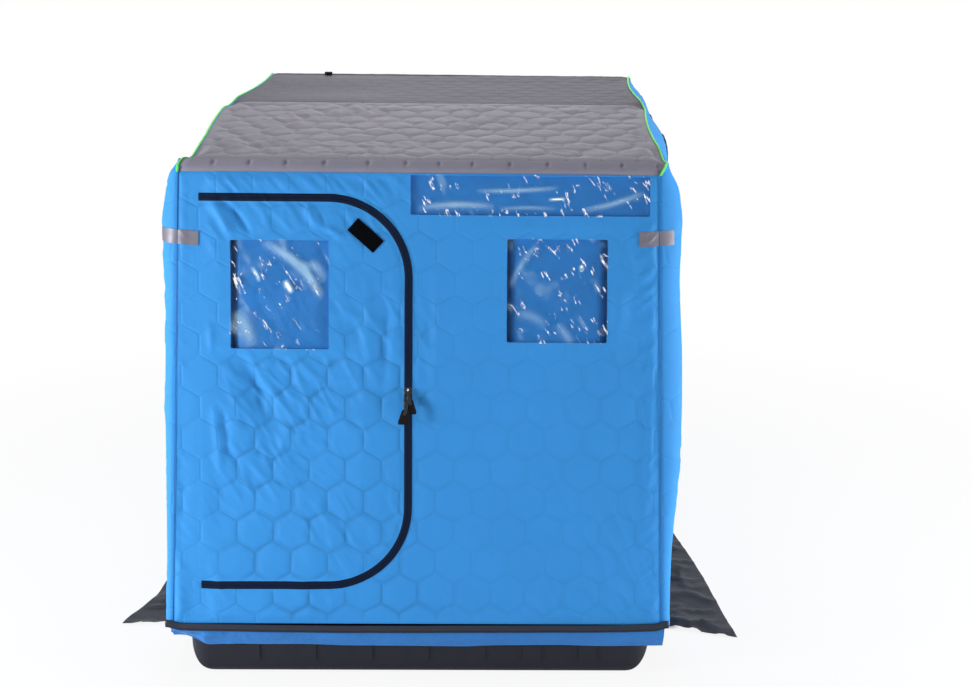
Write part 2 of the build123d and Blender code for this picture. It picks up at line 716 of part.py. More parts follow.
# ---- small pieces ----
def reflective_patches():
    """Two reflective patches at the outer edges of the rear wall."""
    up = up_wall(PATCH_CENTRE)
    half = wall_half(up) - PATCH_WIDTH / 2
    with BuildPart() as patches:
        with BuildSketch(wall):
            with Locations((-half, up), (half, up)):
                Rectangle(PATCH_WIDTH, PATCH_HEIGHT)
        extrude(amount=PATCH_THICKNESS)
    save(patches.part, "reflective_patches")


def roof_webbing_tab():
    """A small folded webbing loop that stands on the far edge of the roof."""
    plane = panel_plane(ridge, brow)
    end = (brow - ridge).length - brow_setback - TAB_LOOP_LENGTH
    with BuildPart() as tab:
        with BuildSketch(Plane(origin=plane.from_local_coords(Vector(ROOF_TAB_X, end, 0)),
                               x_dir=plane.y_dir, z_dir=(-1, 0, 0))) as loop:
            with Locations((0, -TAB_LOOP_HEIGHT / 2)):
                RectangleRounded(TAB_LOOP_LENGTH, TAB_LOOP_HEIGHT, TAB_LOOP_HEIGHT / 2.1)
                RectangleRounded(TAB_LOOP_LENGTH - 4, TAB_LOOP_HEIGHT - 4,
                                 TAB_LOOP_HEIGHT / 2.1 - 2, mode=Mode.SUBTRACT)
        extrude(amount=TAB_LOOP_WIDTH / 2, both=True)
    save(tab.part, "roof_webbing_tab")


rear_wall_left()
rear_wall_beside_corners()
rear_wall_right()
rear_glazing()
door()
door_zipper()
zipper_sliders()
side_walls()
side_door_zippers()
roof_panels()
front_wall()
sleeve(base_seam, eaves, ridge, "roof_rear_sleeve")
sleeve(ridge, brow, front_foot, "roof_front_sleeve")
piping()
hoops()
pivot_brackets()
sled()
base()
skirts()
reflective_patches()
roof_webbing_tab()
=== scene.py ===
"""Looks for a flip-over ice fishing hut: quilted cloth over tube hoops and a moulded sled.

Everything is in metres, in the CAD frame: +X is to the right as seen from behind, +Y runs
from the sled wall to the front wall, and +Z is up.
"""

import logging
import math
from collections.abc import Callable, Sequence
from dataclasses import dataclass, field
from enum import Enum

import bpy
import numpy as np
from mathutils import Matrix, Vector


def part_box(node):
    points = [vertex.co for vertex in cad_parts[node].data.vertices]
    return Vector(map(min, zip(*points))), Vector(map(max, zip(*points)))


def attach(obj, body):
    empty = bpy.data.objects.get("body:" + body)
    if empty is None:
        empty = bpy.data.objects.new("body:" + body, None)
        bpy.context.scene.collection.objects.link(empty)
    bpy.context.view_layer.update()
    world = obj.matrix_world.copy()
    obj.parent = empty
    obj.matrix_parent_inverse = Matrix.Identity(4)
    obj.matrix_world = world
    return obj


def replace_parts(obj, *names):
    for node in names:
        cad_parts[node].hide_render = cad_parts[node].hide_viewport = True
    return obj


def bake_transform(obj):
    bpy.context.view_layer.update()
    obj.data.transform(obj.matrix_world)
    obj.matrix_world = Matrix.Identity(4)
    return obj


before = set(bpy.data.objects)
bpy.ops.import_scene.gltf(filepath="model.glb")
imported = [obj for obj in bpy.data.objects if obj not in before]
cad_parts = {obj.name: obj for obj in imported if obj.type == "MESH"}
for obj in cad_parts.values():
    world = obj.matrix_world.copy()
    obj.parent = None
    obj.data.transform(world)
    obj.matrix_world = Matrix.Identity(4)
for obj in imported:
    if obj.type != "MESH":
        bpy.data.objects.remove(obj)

log = logging.getLogger("hut")
Array = np.ndarray
Pair = tuple[float, float]
Piece = bpy.types.Object
Material = bpy.types.Material
Place = Callable[[Array, Array], Array]
MM = 0.001
QUILT_CELL = 0.114
WINDOW_SIZE = (0.312, 0.330)
WINDOW_HEIGHT = 1.255
HOLE_LAP = 3 * MM       # a pane laps over its opening by this
SEAM_DEPTH = 1.5 * MM   # a sewn edge is drawn in by this
SEAM_WIDTH = 4 * MM
ZIP_SLIT = 0.25 * MM    # half the gap between a zipper's two halves
RIM_FADE = 30 * MM      # slack and quilt die away this near to a seam
WIDE_FADE = 50 * MM
PANE_FADE = (-12 * MM, 20 * MM)   # the quilt dies away round the side and front panes


# --------------------------------------------------------------------------- shader maths
class Sock:
    """A shader socket; arithmetic on it adds Math nodes to its graph."""

    def __init__(self, graph: "Graph", socket: bpy.types.NodeSocket) -> None:
        """Keeps the graph and the output socket."""
        self.graph, self.socket = graph, socket

    def _math(self, operation: str, *others: "Sock | float", flip: bool = False) -> "Sock":
        """Adds one Math node.

        Args:
            operation: Blender's name for the sum.
            others: the other values.
            flip: True where this socket is the second value.

        Returns:
            The node's result.
        """
        values = (others[0], self) if flip else (self, *others)
        return self.graph.node("Math", {"operation": operation}, dict(enumerate(values)))

    def __add__(self, other: "Sock | float") -> "Sock":
        """Sum."""
        return self._math("ADD", other)

    __radd__ = __add__

    def __mul__(self, other: "Sock | float") -> "Sock":
        """Product."""
        return self._math("MULTIPLY", other)

    __rmul__ = __mul__

    def __sub__(self, other: "Sock | float") -> "Sock":
        """Difference."""
        return self._math("SUBTRACT", other)

    def __rsub__(self, other: "Sock | float") -> "Sock":
        """Difference from a number."""
        return self._math("SUBTRACT", other, flip=True)

    def __truediv__(self, other: "Sock | float") -> "Sock":
        """Quotient."""
        return self._math("DIVIDE", other)

    def __abs__(self) -> "Sock":
        """Size without sign."""
        return self._math("ABSOLUTE")

    def least(self, other: "Sock | float") -> "Sock":
        """The smaller of two values."""
        return self._math("MINIMUM", other)

    def most(self, other: "Sock | float") -> "Sock":
        """The larger of two values."""
        return self._math("MAXIMUM", other)

    def fraction(self) -> "Sock":
        """What is left above the whole number."""
        return self._math("FRACT")

    def sine(self) -> "Sock":
        """Sine, in radians."""
        return self._math("SINE")

    def clamp(self) -> "Sock":
        """The value held between 0 and 1."""
        return self.graph.node("Clamp", {}, {"Value": self})

    def step(self, start: float, end: float) -> "Sock":
        """0 before start, 1 after end and a smooth rise between them."""
        settings = {"interpolation_type": "SMOOTHSTEP"}
        return self.graph.node("MapRange", settings, {"Value": self, "From Min": start, "From Max": end})


class Graph:
    """A material's nodes, made from expressions."""

    def __init__(self, name: str, world: bool = False) -> None:
        """Starts an empty material of that name, or a world."""
        self.material = (bpy.data.worlds if world else bpy.data.materials).new(name)
        self.material.use_nodes = True
        self.tree = self.material.node_tree
        self.tree.nodes.clear()

    def node(
        self, kind: str, settings: dict | None = None, inputs: dict | None = None, output: int | str = 0
    ) -> Sock:
        """Adds a node, sets it, then fills its sockets.

        Args:
            kind: the node's type without the ShaderNode prefix.
            settings: attributes of the node.
            inputs: socket name or number to a value, colour or Sock.
            output: name or number of the output that is returned.

        Returns:
            The chosen output.
        """
        made = self.tree.nodes.new("ShaderNode" + kind)
        for key, value in (settings or {}).items():
            setattr(made, key, value)
        for key, value in (inputs or {}).items():
            if isinstance(value, Sock):
                self.tree.links.new(value.socket, made.inputs[key])
            else:
                made.inputs[key].default_value = value
        return Sock(self, made.outputs[output] if made.outputs else None)

    def plan(self) -> tuple[Sock, Sock, Sock]:
        """The piece's flat pattern in metres: the vector, across and along."""
        vector = self.node("UVMap", {"uv_map": "Plan"})
        return (vector, *self.split(vector)[:2])

    def place(self) -> Sock:
        """Object coordinates, which are the frame's own metres."""
        return self.node("TexCoord", {}, {}, "Object")

    def attribute(self, name: str) -> Sock:
        """A number that is kept for each of a piece's points."""
        return self.node("Attribute", {"attribute_name": name}, {}, "Fac")

    def split(self, vector: Sock) -> list[Sock]:
        """The three numbers of a vector."""
        parts = self.node("SeparateXYZ", {}, {"Vector": vector})
        return [Sock(self, number) for number in parts.socket.node.outputs]

    def noise(self, vector: Sock, size: float, detail: float = 3.0, rough: float = 0.5) -> Sock:
        """Cloudy noise from 0 to 1 whose features are about size metres across."""
        inputs = {"Vector": vector, "Scale": 1 / size, "Detail": detail, "Roughness": rough}
        return self.node("TexNoise", {}, inputs)

    def cells(self, vector: Sock, size: float) -> Sock:
        """Soft-edged cells, about size metres across."""
        inputs = {"Vector": vector, "Scale": 1 / size}
        return self.node("TexVoronoi", {"feature": "SMOOTH_F1"}, inputs, "Distance")

    def blend(self, fac: Sock, a: "Sock | tuple", b: "Sock | tuple") -> Sock:
        """Colour a turned towards colour b by fac."""
        first, second = (v if isinstance(v, Sock) else (*v, 1.0) for v in (a, b))
        return self.node("Mix", {"data_type": "RGBA"}, {0: fac, 6: first, 7: second}, 2)

    def bump(self, height: Sock) -> Sock:
        """A normal from a height in metres."""
        return self.node("Bump", {}, {"Height": height, "Strength": 1.0, "Distance": 1.0}, "Normal")

    def finish(self, **sockets: object) -> Material:
        """Adds the Principled shader and the output.

        Args:
            sockets: Principled socket names, with _ for a space, to values or Socks.

        Returns:
            The finished material.
        """
        inputs = {key.replace("_", " "): value for key, value in sockets.items()}
        return self.close(self.node("BsdfPrincipled", {}, inputs))

    def close(self, surface: Sock) -> Material:
        """Links a shader to the material's output."""
        self.node("OutputMaterial", {}, {"Surface": surface})
        return self.material


def tint(red: float, green: float, blue: float) -> tuple[float, float, float]:
    """A screen colour, 0 to 255, as the linear values that shaders take."""
    level = np.array([red, green, blue]) / 255
    linear = np.where(level <= 0.04045, level / 12.92, ((level + 0.055) / 1.055) ** 2.4)
    return tuple(float(v) for v in linear)


def shade(colour: tuple[float, float, float], by: float) -> tuple[float, float, float]:
    """A colour made lighter or darker by a factor."""
    return tuple(min(1.0, c * by) for c in colour)


# --------------------------------------------------------------------------- finishes
@dataclass(frozen=True)
class Finish:
    """A material that is made once and then shared."""

    name: str
    colour: tuple[float, float, float]

    def material(self) -> Material:
        """The Blender material, made on first use."""
        title = f"{self.name}_finish"
        return bpy.data.materials.get(title) or self.paint(Graph(title))

    def paint(self, g: Graph) -> Material:
        """Fills an empty graph with the finish's nodes."""
        raise NotImplementedError


@dataclass(frozen=True)
class Quilt(Finish):
    """Insulated cloth with a hexagon quilt, fine weave, soft sheen, slight creasing, and painted shade
    darkening its quilt grooves.
    """

    cell: float = QUILT_CELL
    seam_deep: float = 0.8 * MM
    roughness: float = 0.66
    crumple: float = 0.9 * MM
    weave_pitch: float = 0.9 * MM
    weave_deep: float = 0.02 * MM
    # stitched: colour factor of the painted shade in the quilt's grooves
    stitched: float = 0.55

    def seam(self, graph: Graph) -> Sock:
        """Distance from the nearest quilt seam, as a share of a cell's width.

        The hexagons stand on their points. Two offset lattices of centres hold every cell; in
        each, a point's hexagonal distance is the larger of |x| and |x|/2 + 1.5|y| with y in
        cell heights of the square root of 3, and the smaller of the two tells the cell.

        Args:
            graph: the material's graph.

        Returns:
            A value that is 0 on a seam.
        """
        _, across, along = graph.plan()
        x, y = across / self.cell, along / (self.cell * math.sqrt(3))
        reach = []
        for shift in (0.0, 0.5):
            dx = abs((x + shift).fraction() - 0.5)
            dy = abs((y + shift).fraction() - 0.5)
            reach.append(dx.most(dx * 0.5 + dy * 1.5))
        return 0.5 - reach[0].least(reach[1])

    def paint(self, g: Graph) -> Material:
        """Fills an empty graph with the finish's nodes."""
        plan, across, along = g.plan()
        seam = 1 - self.seam(g).step(0.0, 0.06)
        cloud = g.noise(plan, 0.22, 3)
        worn = g.noise(plan, 0.012, 2)
        base = g.blend(cloud, shade(self.colour, 0.93), shade(self.colour, 1.07))
        # painted shade: darkens the colour along the quilt's grooves
        base = g.blend((g.attribute("groove_shade") * 0.5).clamp(), base, shade(self.colour, self.stitched))
        base = g.blend(worn * 0.06, base, shade(self.colour, 1.25))
        pitch = 2 * math.pi / self.weave_pitch
        weave = (across * pitch).sine() * (along * pitch).sine()
        height = weave * self.weave_deep - seam * self.seam_deep
        height = height + g.noise(plan, 0.03, 4, 0.6) * self.crumple
        rough = worn * 0.12 + (self.roughness - 0.06)
        return g.finish(Base_Color=base, Roughness=rough, Normal=g.bump(height), Specular_IOR_Level=0.22)


@dataclass(frozen=True)
class PlainCloth(Finish):
    """Unpadded woven cloth with a fine plain weave and small creases."""

    thread: float = 0.8 * MM
    crumple: float = 1.6 * MM
    crumple_size: float = 0.045
    roughness: float = 0.62

    def paint(self, g: Graph) -> Material:
        """Fills an empty graph with the finish's nodes."""
        plan, across, along = g.plan()
        pitch = math.pi / self.thread
        over = (across * pitch).sine() * (along * pitch).sine()
        cloud = g.noise(plan, 0.12, 4)
        lint = g.noise(plan, 0.006, 2)
        base = g.blend(cloud, shade(self.colour, 0.86), shade(self.colour, 1.14))
        base = g.blend(abs(over) * 0.12, base, shade(self.colour, 0.5))
        creases = abs(g.noise(plan, self.crumple_size, 5, 0.62) - 0.5)
        height = over * (0.03 * MM) + creases * self.crumple * 2
        return g.finish(
            Base_Color=base, Roughness=lint * 0.16 + (self.roughness - 0.08),
            Normal=g.bump(height), Specular_IOR_Level=0.3, Sheen_Weight=0.1,
        )


@dataclass(frozen=True)
class Webbing(Finish):
    """Ribbed woven tape; the ribs run along the pattern."""

    rib: float = 1.6 * MM
    roughness: float = 0.66
    shine: float = 0.3

    def paint(self, g: Graph) -> Material:
        """Fills an empty graph with the finish's nodes."""
        plan, across, along = g.plan()
        ribs = abs((across * (math.pi / self.rib)).sine())
        picks = (along * (2 * math.pi / (self.rib * 0.7))).sine()
        dust = g.noise(plan, 0.02, 4)
        base = g.blend(ribs * 0.5, shade(self.colour, 0.7), shade(self.colour, 1.5))
        base = g.blend(dust * 0.3, base, shade(self.colour, 2.2))
        height = ribs * (0.12 * MM) + picks * (0.03 * MM) + dust * (0.2 * MM)
        return g.finish(
            Base_Color=base, Roughness=dust * 0.2 + (self.roughness - 0.1),
            Normal=g.bump(height), Specular_IOR_Level=self.shine,
        )


@dataclass(frozen=True)
class LoopTape(Finish):
    """The fuzzy half of a hook-and-loop fastener."""

    def paint(self, g: Graph) -> Material:
        """Fills an empty graph with the finish's nodes."""
        plan, _, _ = g.plan()
        fuzz = g.noise(plan, 0.0016, 3, 0.7)
        patch = g.noise(plan, 0.018, 2)
        base = g.blend(fuzz * 0.5, shade(self.colour, 0.6), shade(self.colour, 2.0))
        height = fuzz * (0.6 * MM) + patch * (0.4 * MM)
        return g.finish(
            Base_Color=base, Roughness=fuzz * 0.1 + 0.82, Normal=g.bump(height),
            Specular_IOR_Level=0.04,
        )


@dataclass(frozen=True)
class Reflector(Finish):
    """Grey reflective tape: fine beads in a diamond net, a little metallic."""

    net: float = 4 * MM

    def paint(self, g: Graph) -> Material:
        """Fills an empty graph with the finish's nodes."""
        plan, across, along = g.plan()
        sum_way = abs(((across + along) / self.net).fraction() - 0.5)
        other_way = abs(((across - along) / self.net).fraction() - 0.5)
        net = (sum_way.most(other_way)).step(0.40, 0.47)
        scuff = g.noise(plan, 0.03, 5, 0.65)
        base = g.blend(net * 0.35, self.colour, shade(self.colour, 0.72))
        base = g.blend(scuff * 0.35, base, shade(self.colour, 0.82))
        height = net * (-0.05 * MM) + scuff * (0.5 * MM)
        return g.finish(
            Base_Color=base, Roughness=scuff * 0.2 + 0.34, Metallic=0.25, Normal=g.bump(height),
        )


@dataclass(frozen=True)
class Vinyl(Finish):
    """Clear flexible vinyl: see-through and crinkled, with painted glints where a noise mask turns it into a
    mirror of the white world, and painted reflection streaks as a pale film, with painted highlight spots in
    them.
    """

    gleam: float = 0.01
    # share of pale film on the painted reflection streaks
    streak_paleness: float = 0.62
    crinkle: float = 4.0 * MM
    fold: float = 5.0 * MM

    def paint(self, g: Graph) -> Material:
        """Fills an empty graph with the finish's nodes."""
        plan, across, along = g.plan()
        slanted = g.node("CombineXYZ", {}, {0: across * 0.9 + along * 0.5, 1: along * 0.18 - across * 0.14})
        crumple = abs(g.noise(slanted, 0.040, 5, 0.62) - 0.5)
        fold = abs(g.noise(slanted, 0.13, 2, 0.5) - 0.5)
        sparse = g.noise(plan, 0.055, 2).step(0.50, 0.58)
        fine = g.noise(slanted, 0.010, 2, 0.5).step(0.50, 0.55)
        # painted glints: a noise mask that turns the vinyl into a mirror of the white world, wherever the
        # lamps are
        painted_glint = (1 - crumple.step(0.012, 0.022)) * sparse * fine
        # painted reflection streaks: pale film along random folds, added to the streaks listed for each pane
        painted_streak = (1 - fold.step(0.008, 0.05)) * g.noise(plan, 0.10, 2).step(0.50, 0.70)
        drawn = g.attribute("painted_streak")
        painted_streak = (painted_streak * 0.5 + drawn * 1.2).clamp()
        normal = g.bump(crumple * -self.crinkle + fold * -self.fold)
        # the pale film that shows the painted reflection streaks
        pale_film = g.node("BsdfPrincipled", {}, {
            "Base Color": (*self.colour, 1.0), "Roughness": 0.30, "Specular IOR Level": 0.3,
        })
        clear = g.node("BsdfTransparent", {}, {"Color": (0.97, 0.985, 1.0, 1.0)})
        outer = 1 - g.node("NewGeometry", {}, {}, "Backfacing")
        film = g.node("MixShader", {}, {0: painted_streak * self.streak_paleness * outer, 1: clear, 2: pale_film})
        mirror = g.node("BsdfGlossy", {}, {"Color": (1, 1, 1, 1), "Roughness": 0.05, "Normal": normal})
        facing = g.node("LayerWeight", {}, {"Blend": 0.3, "Normal": normal}, "Facing")
        # painted highlight spots where a listed streak's height passes 1
        painted_highlight = (drawn - 1.0).clamp() * 3.0
        gloss = (facing * 0.12 + painted_glint + painted_highlight + self.gleam).clamp() * outer
        return g.close(g.node("MixShader", {}, {0: gloss, 1: film, 2: mirror}))


@dataclass(frozen=True)
class Coat(Finish):
    """Powder coat or enamel on metal: low gloss with a slight orange-peel."""

    roughness: float = 0.42
    metallic: float = 0.0

    def paint(self, g: Graph) -> Material:
        """Fills an empty graph with the finish's nodes."""
        place = g.place()
        peel = g.noise(place, 0.0025, 2)
        rub = g.noise(place, 0.06, 5, 0.7).step(0.58, 0.75)
        base = g.blend(rub * 0.35, self.colour, shade(self.colour, 1.8))
        height = peel * (0.06 * MM)
        return g.finish(
            Base_Color=base, Roughness=rub * 0.14 + self.roughness,
            Metallic=self.metallic, Normal=g.bump(height),
        )


@dataclass(frozen=True)
class SledPlastic(Finish):
    """Moulded polyethylene: fine pebble grain, with pale scuffs low down."""

    scuffed_below: float = 0.09
    pebble: float = 2.2 * MM

    def paint(self, g: Graph) -> Material:
        """Fills an empty graph with the finish's nodes."""
        place = g.place()
        low = 1 - g.split(place)[2].step(0.0, self.scuffed_below)
        grain = g.cells(place, self.pebble)
        stretched = g.node("Mapping", {}, {"Vector": place, "Scale": (1.0, 1.0, 9.0)})
        scuff = g.noise(stretched, 0.05, 6, 0.72).step(0.55, 0.78)
        cloud = g.noise(place, 0.18, 3)
        base = g.blend(cloud, shade(self.colour, 0.8), shade(self.colour, 1.2))
        base = g.blend(scuff * (low * 0.35 + 0.08), base, shade(self.colour, 3.2))
        bumps = grain * (0.12 * MM) + cloud * (0.8 * MM)
        return g.finish(
            Base_Color=base, Roughness=0.5 - grain * 0.08 + scuff * 0.12,
            Normal=g.bump(bumps), Specular_IOR_Level=0.4,
        )


@dataclass(frozen=True)
class Cord(Finish):
    """Cloth-covered piping with slanted threads."""

    thread: float = 1.1 * MM

    def paint(self, g: Graph) -> Material:
        """Fills an empty graph with the finish's nodes."""
        plan, across, along = g.plan()
        threads = abs(((across + along) * (math.pi / self.thread)).sine())
        dull = g.noise(plan, 0.05, 3)
        base = g.blend(threads * 0.3, self.colour, shade(self.colour, 0.7))
        base = g.blend(dull * 0.2, base, shade(self.colour, 0.8))
        return g.finish(
            Base_Color=base, Roughness=dull * 0.1 + 0.5, Normal=g.bump(threads * (0.15 * MM)),
        )


class Palette:
    """Every finish of the hut."""

    BLUE = Quilt("blue_quilt_cloth", tint(54, 145, 219))
    GREY = Quilt("grey_quilt_cloth", tint(138, 135, 145))
    SLEEVE = Quilt("grey_sleeve_cloth", tint(131, 129, 143), seam_deep=0.0)
    # dark strip laid along each upright corner seam: painted shade of the seam's crease
    SEAM_SHADE = PlainCloth("seam_shade_cloth", tint(20, 84, 156))
    # a darker copy of the roof's grey quilt for the front roof panel and front sleeve: painted shade
    SHADED_GREY = Quilt("shaded_grey_quilt_cloth", tint(82, 79, 90))
    COVER = PlainCloth("blue_cover_cloth", tint(30, 123, 196))
    HEM = PlainCloth("blue_hem_cloth", tint(38, 127, 206), crumple=2.4 * MM)
    LINER = PlainCloth("dark_liner_cloth", tint(58, 60, 66), crumple=0.8 * MM)
    SKIRT = PlainCloth("skirt_cloth", tint(21, 20, 29), crumple=1.8 * MM)
    ZIPPER = Webbing("zipper_tape", tint(15, 26, 48), rib=2.0 * MM, roughness=0.8, shine=0.08)
    BASE_ZIPPER = Webbing("base_zipper_tape", tint(20, 26, 42), rib=2.0 * MM, roughness=0.42, shine=0.4)
    WEBBING = Webbing("black_webbing", tint(12, 12, 16), shine=0.12)
    LOOP = LoopTape("black_loop_tape", tint(5, 6, 11))
    REFLECTOR = Reflector("reflective_tape", tint(120, 118, 131))
    # colour of the pale film that shows the vinyl's painted reflection streaks
    VINYL = Vinyl("clear_vinyl", tint(178, 222, 248))
    LIME = Cord("lime_piping", tint(112, 236, 92))
    ENAMEL = Coat("black_enamel", tint(28, 29, 33), 0.3, 0.4)
    COIL = Coat("zipper_coil", tint(70, 73, 84), 0.4, 0.5)
    NICKEL = Coat("nickel_plate", tint(196, 198, 204), 0.24, 0.9)
    TUBE = Coat("tube_powder_coat", tint(34, 35, 38))
    BRACKET = Coat("bracket_powder_coat", tint(40, 41, 45), 0.5)
    SLED = SledPlastic("sled_plastic", tint(23, 24, 36))


# --------------------------------------------------------------------------- number helpers
def smooth(value: Array, start: float, end: float) -> Array:
    """0 before start and 1 after end, with a smooth cubic between them."""
    t = np.clip((value - start) / (end - start), 0, 1)
    return t * t * (3 - 2 * t)


def bell(value: Array, width: Array | float) -> Array:
    """1 at zero, falling off as exp(-(value/width)^2)."""
    return np.exp(-((value / width) ** 2))


def peak(value: Array, at: Pair) -> Array:
    """A bell about a place with a width: 1 there, falling off to both sides."""
    return bell(value - at[0], at[1])


def sided(side: Array | int, left: Array | float, right: Array | float) -> Array:
    """One value where the side is -1 and another where it is 1."""
    return np.where(np.asarray(side) < 0, left, right)


def side_name(side: int) -> str:
    """The side's name in pieces and nodes."""
    return "right" if side > 0 else "left"


def lengths(points: Array) -> Array:
    """Distance along a line to each of its points."""
    return np.concatenate([[0], np.cumsum(np.linalg.norm(np.diff(points, axis=0), axis=1))])


def lattice(*axes: Array) -> Array:
    """Columns by rows by 2 points from the values across and along."""
    return np.stack(np.meshgrid(*axes, indexing="ij"), -1)


def noise(u: Array, v: Array, size: float, seed: int) -> Array:
    """Smooth random heights from -1 to 1.

    Random values on a square lattice, blended between lattice points by the quintic
    6t^5 - 15t^4 + 10t^3.

    Args:
        u: first coordinate in metres.
        v: second coordinate in metres.
        size: lattice spacing in metres.
        seed: number of the pattern.

    Returns:
        One value for each point.
    """
    lattice = np.random.default_rng(seed).uniform(-1, 1, (61, 61))
    gu, gv = u / size + 17.3, v / size + 23.7
    iu, iv = np.floor(gu).astype(int), np.floor(gv).astype(int)
    fu, fv = gu - iu, gv - iv
    fu, fv = (f * f * f * (f * (f * 6 - 15) + 10) for f in (fu, fv))
    a, b = lattice[iu % 61, iv % 61], lattice[(iu + 1) % 61, iv % 61]
    c, d = lattice[iu % 61, (iv + 1) % 61], lattice[(iu + 1) % 61, (iv + 1) % 61]
    return (a * (1 - fu) + b * fu) * (1 - fv) + (c * (1 - fu) + d * fu) * fv


def ridged(u: Array, v: Array, size: float, seed: int) -> Array:
    """Sharp-crested creases from 0 to 1: one less the size of two noises added."""
    mixed = noise(u, v, size, seed) + 0.5 * noise(u, v, size * 0.47, seed + 1)
    return 1 - np.minimum(1, np.abs(mixed) * 1.6)


def creased(u: Array, v: Array, size: float, seed: int, slant: float = 1.05) -> Array:
    """Crests from 0 to 1 drawn out along a slant that falls to the right, in radians."""
    along = u * math.cos(slant) - v * math.sin(slant)
    across = u * math.sin(slant) + v * math.cos(slant)
    return ridged(across, along * 0.3, size, seed)


def hexagons(u: Array, v: Array, cell: float) -> Array:
    """Distance in metres to the nearest seam of a hexagon quilt that stands on its points.

    The point is taken into two offset lattices of cell centres; the hexagonal distance to a
    centre is the larger of |x| and |x|/2 + 1.5|y|, and the seam lies half a cell away.

    Args:
        u: coordinate across, in metres.
        v: coordinate along, in metres.
        cell: width across a cell's flats.

    Returns:
        One distance for each point.
    """
    x, y = u / cell, v / (cell * math.sqrt(3))
    reach = []
    for shift in (0.0, 0.5):
        dx, dy = (np.abs((c + shift) % 1 - 0.5) for c in (x, y))
        reach.append(np.maximum(dx, dx * 0.5 + dy * 1.5))
    return (0.5 - np.minimum(*reach)) * cell


@dataclass(frozen=True)
class Fold:
    """A soft ridge or valley from one point of a flat pattern to another.

    Its height is a bell across the fold, times a half sine along it, and it may bow sideways.
    """

    start: Pair
    end: Pair
    width: float
    height: float
    bow: float = 0.0

    def at(self, u: Array, v: Array) -> Array:
        """Height of the fold at points of the pattern."""
        a, b = np.array(self.start), np.array(self.end)
        way = (b - a) / np.linalg.norm(b - a)
        t = ((u - a[0]) * way[0] + (v - a[1]) * way[1]) / np.linalg.norm(b - a)
        side = -(u - a[0]) * way[1] + (v - a[1]) * way[0]
        inside = np.clip(t, 0, 1)
        side = side - self.bow * np.sin(np.pi * inside)
        return self.height * bell(side, self.width) * np.sin(np.pi * inside) ** 0.6


def folded(folds: Sequence[Fold], u: Array, v: Array) -> Array:
    """The sum of several folds."""
    total = np.zeros_like(u)
    for fold in folds:
        total += fold.at(u, v)
    return total


# --------------------------------------------------------------------------- outlines
@dataclass(frozen=True)
class Box2:
    """A rectangle with rounded corners in a flat pattern."""

    centre: Pair
    size: Pair
    corner: float = 0.004

    def distance(self, points: Array) -> Array:
        """Signed distance: the part outside the shrunken rectangle, less the corner radius."""
        away = np.abs(points - np.array(self.centre)) - np.array(self.size) / 2 + self.corner
        outside = np.linalg.norm(np.maximum(away, 0), axis=1)
        return outside + np.minimum(away.max(axis=1), 0) - self.corner

    def grown(self, by: float) -> "Box2":
        """The same rectangle grown on every side."""
        return Box2(self.centre, (self.size[0] + 2 * by, self.size[1] + 2 * by),
                    max(0.002, self.corner + by))


@dataclass(frozen=True)
class DoorShape:
    """The door's D: straight at the hinge side and rounded at the zipper side."""

    hinge: float
    edge: float
    low: float
    high: float
    corner: float

    def distance(self, points: Array) -> Array:
        """Signed distance: a rounded rectangle that runs on past the hinge, cut off there."""
        width = 2 * (self.edge - self.hinge)
        box = Box2((self.edge - width / 2, (self.low + self.high) / 2),
                   (width, self.high - self.low), self.corner)
        return np.maximum(box.distance(points), self.hinge - points[:, 0])

    def grown(self, by: float, hinge: float) -> "DoorShape":
        """Grown on its three zipper sides, with its hinge side set anew."""
        return DoorShape(hinge, self.edge + by, self.low - by, self.high + by, self.corner + by)

    def path(self, step: float) -> tuple[Array, Array]:
        """Points along the three zipper sides, from the hinge's top to its foot.

        Args:
            step: spacing in metres.

        Returns:
            The points, and the outward direction at each.
        """
        corners = np.array([(self.hinge, self.high), (self.edge, self.high),
                            (self.edge, self.low), (self.hinge, self.low)])
        points, ways, _ = rounded(corners, (self.corner, self.corner), 90)
        return evenly(points, ways, step)


def evenly(points: Array, ways: Array, step: float) -> tuple[Array, Array]:
    """A line's points and directions taken again at an even spacing along its length."""
    length = lengths(points)
    at = np.linspace(0, length[-1], max(3, int(round(length[-1] / step)) + 1))
    new_points, new_ways = (np.stack([np.interp(at, length, row) for row in table.T], 1)
                            for table in (points, ways))
    return new_points, new_ways / np.linalg.norm(new_ways, axis=1, keepdims=True)


# --------------------------------------------------------------------------- meshes
@dataclass
class Pattern:
    """A flat cloth pattern: points in metres, and the quads and triangles between them."""

    points: Array
    faces: list[Array]

    @classmethod
    def whole(cls, grid: Array) -> "Pattern":
        """An uncut pattern from columns by rows by 2 points."""
        return cls(grid.reshape(-1, 2), [lattice_faces(*grid.shape[:2])])

    @property
    def area(self) -> float:
        """The pattern's own area in square metres."""
        return sum(float(np.abs(twice_area(self.points[face])).sum() / 2) for face in self.faces)

    @property
    def extent(self) -> Pair:
        """Width and length of the rectangle that the pattern is cut from."""
        used = self.points[np.unique(np.concatenate([f.ravel() for f in self.faces]))]
        return tuple(float(v) for v in used.max(0) - used.min(0))


def twice_area(faces: Array) -> Array:
    """Twice each face's signed area, from faces by corners by 2 points."""
    x, y = faces[..., 0], faces[..., 1]
    return (x * np.roll(y, -1, 1) - np.roll(x, -1, 1) * y).sum(1)


def lattice_faces(columns: int, rows: int) -> Array:
    """Quads of a grid that is stored column by column."""
    i, j = np.meshgrid(np.arange(columns - 1), np.arange(rows - 1), indexing="ij")
    a = i * rows + j
    return np.stack([a, a + rows, a + rows + 1, a + 1], -1).reshape(-1, 4)


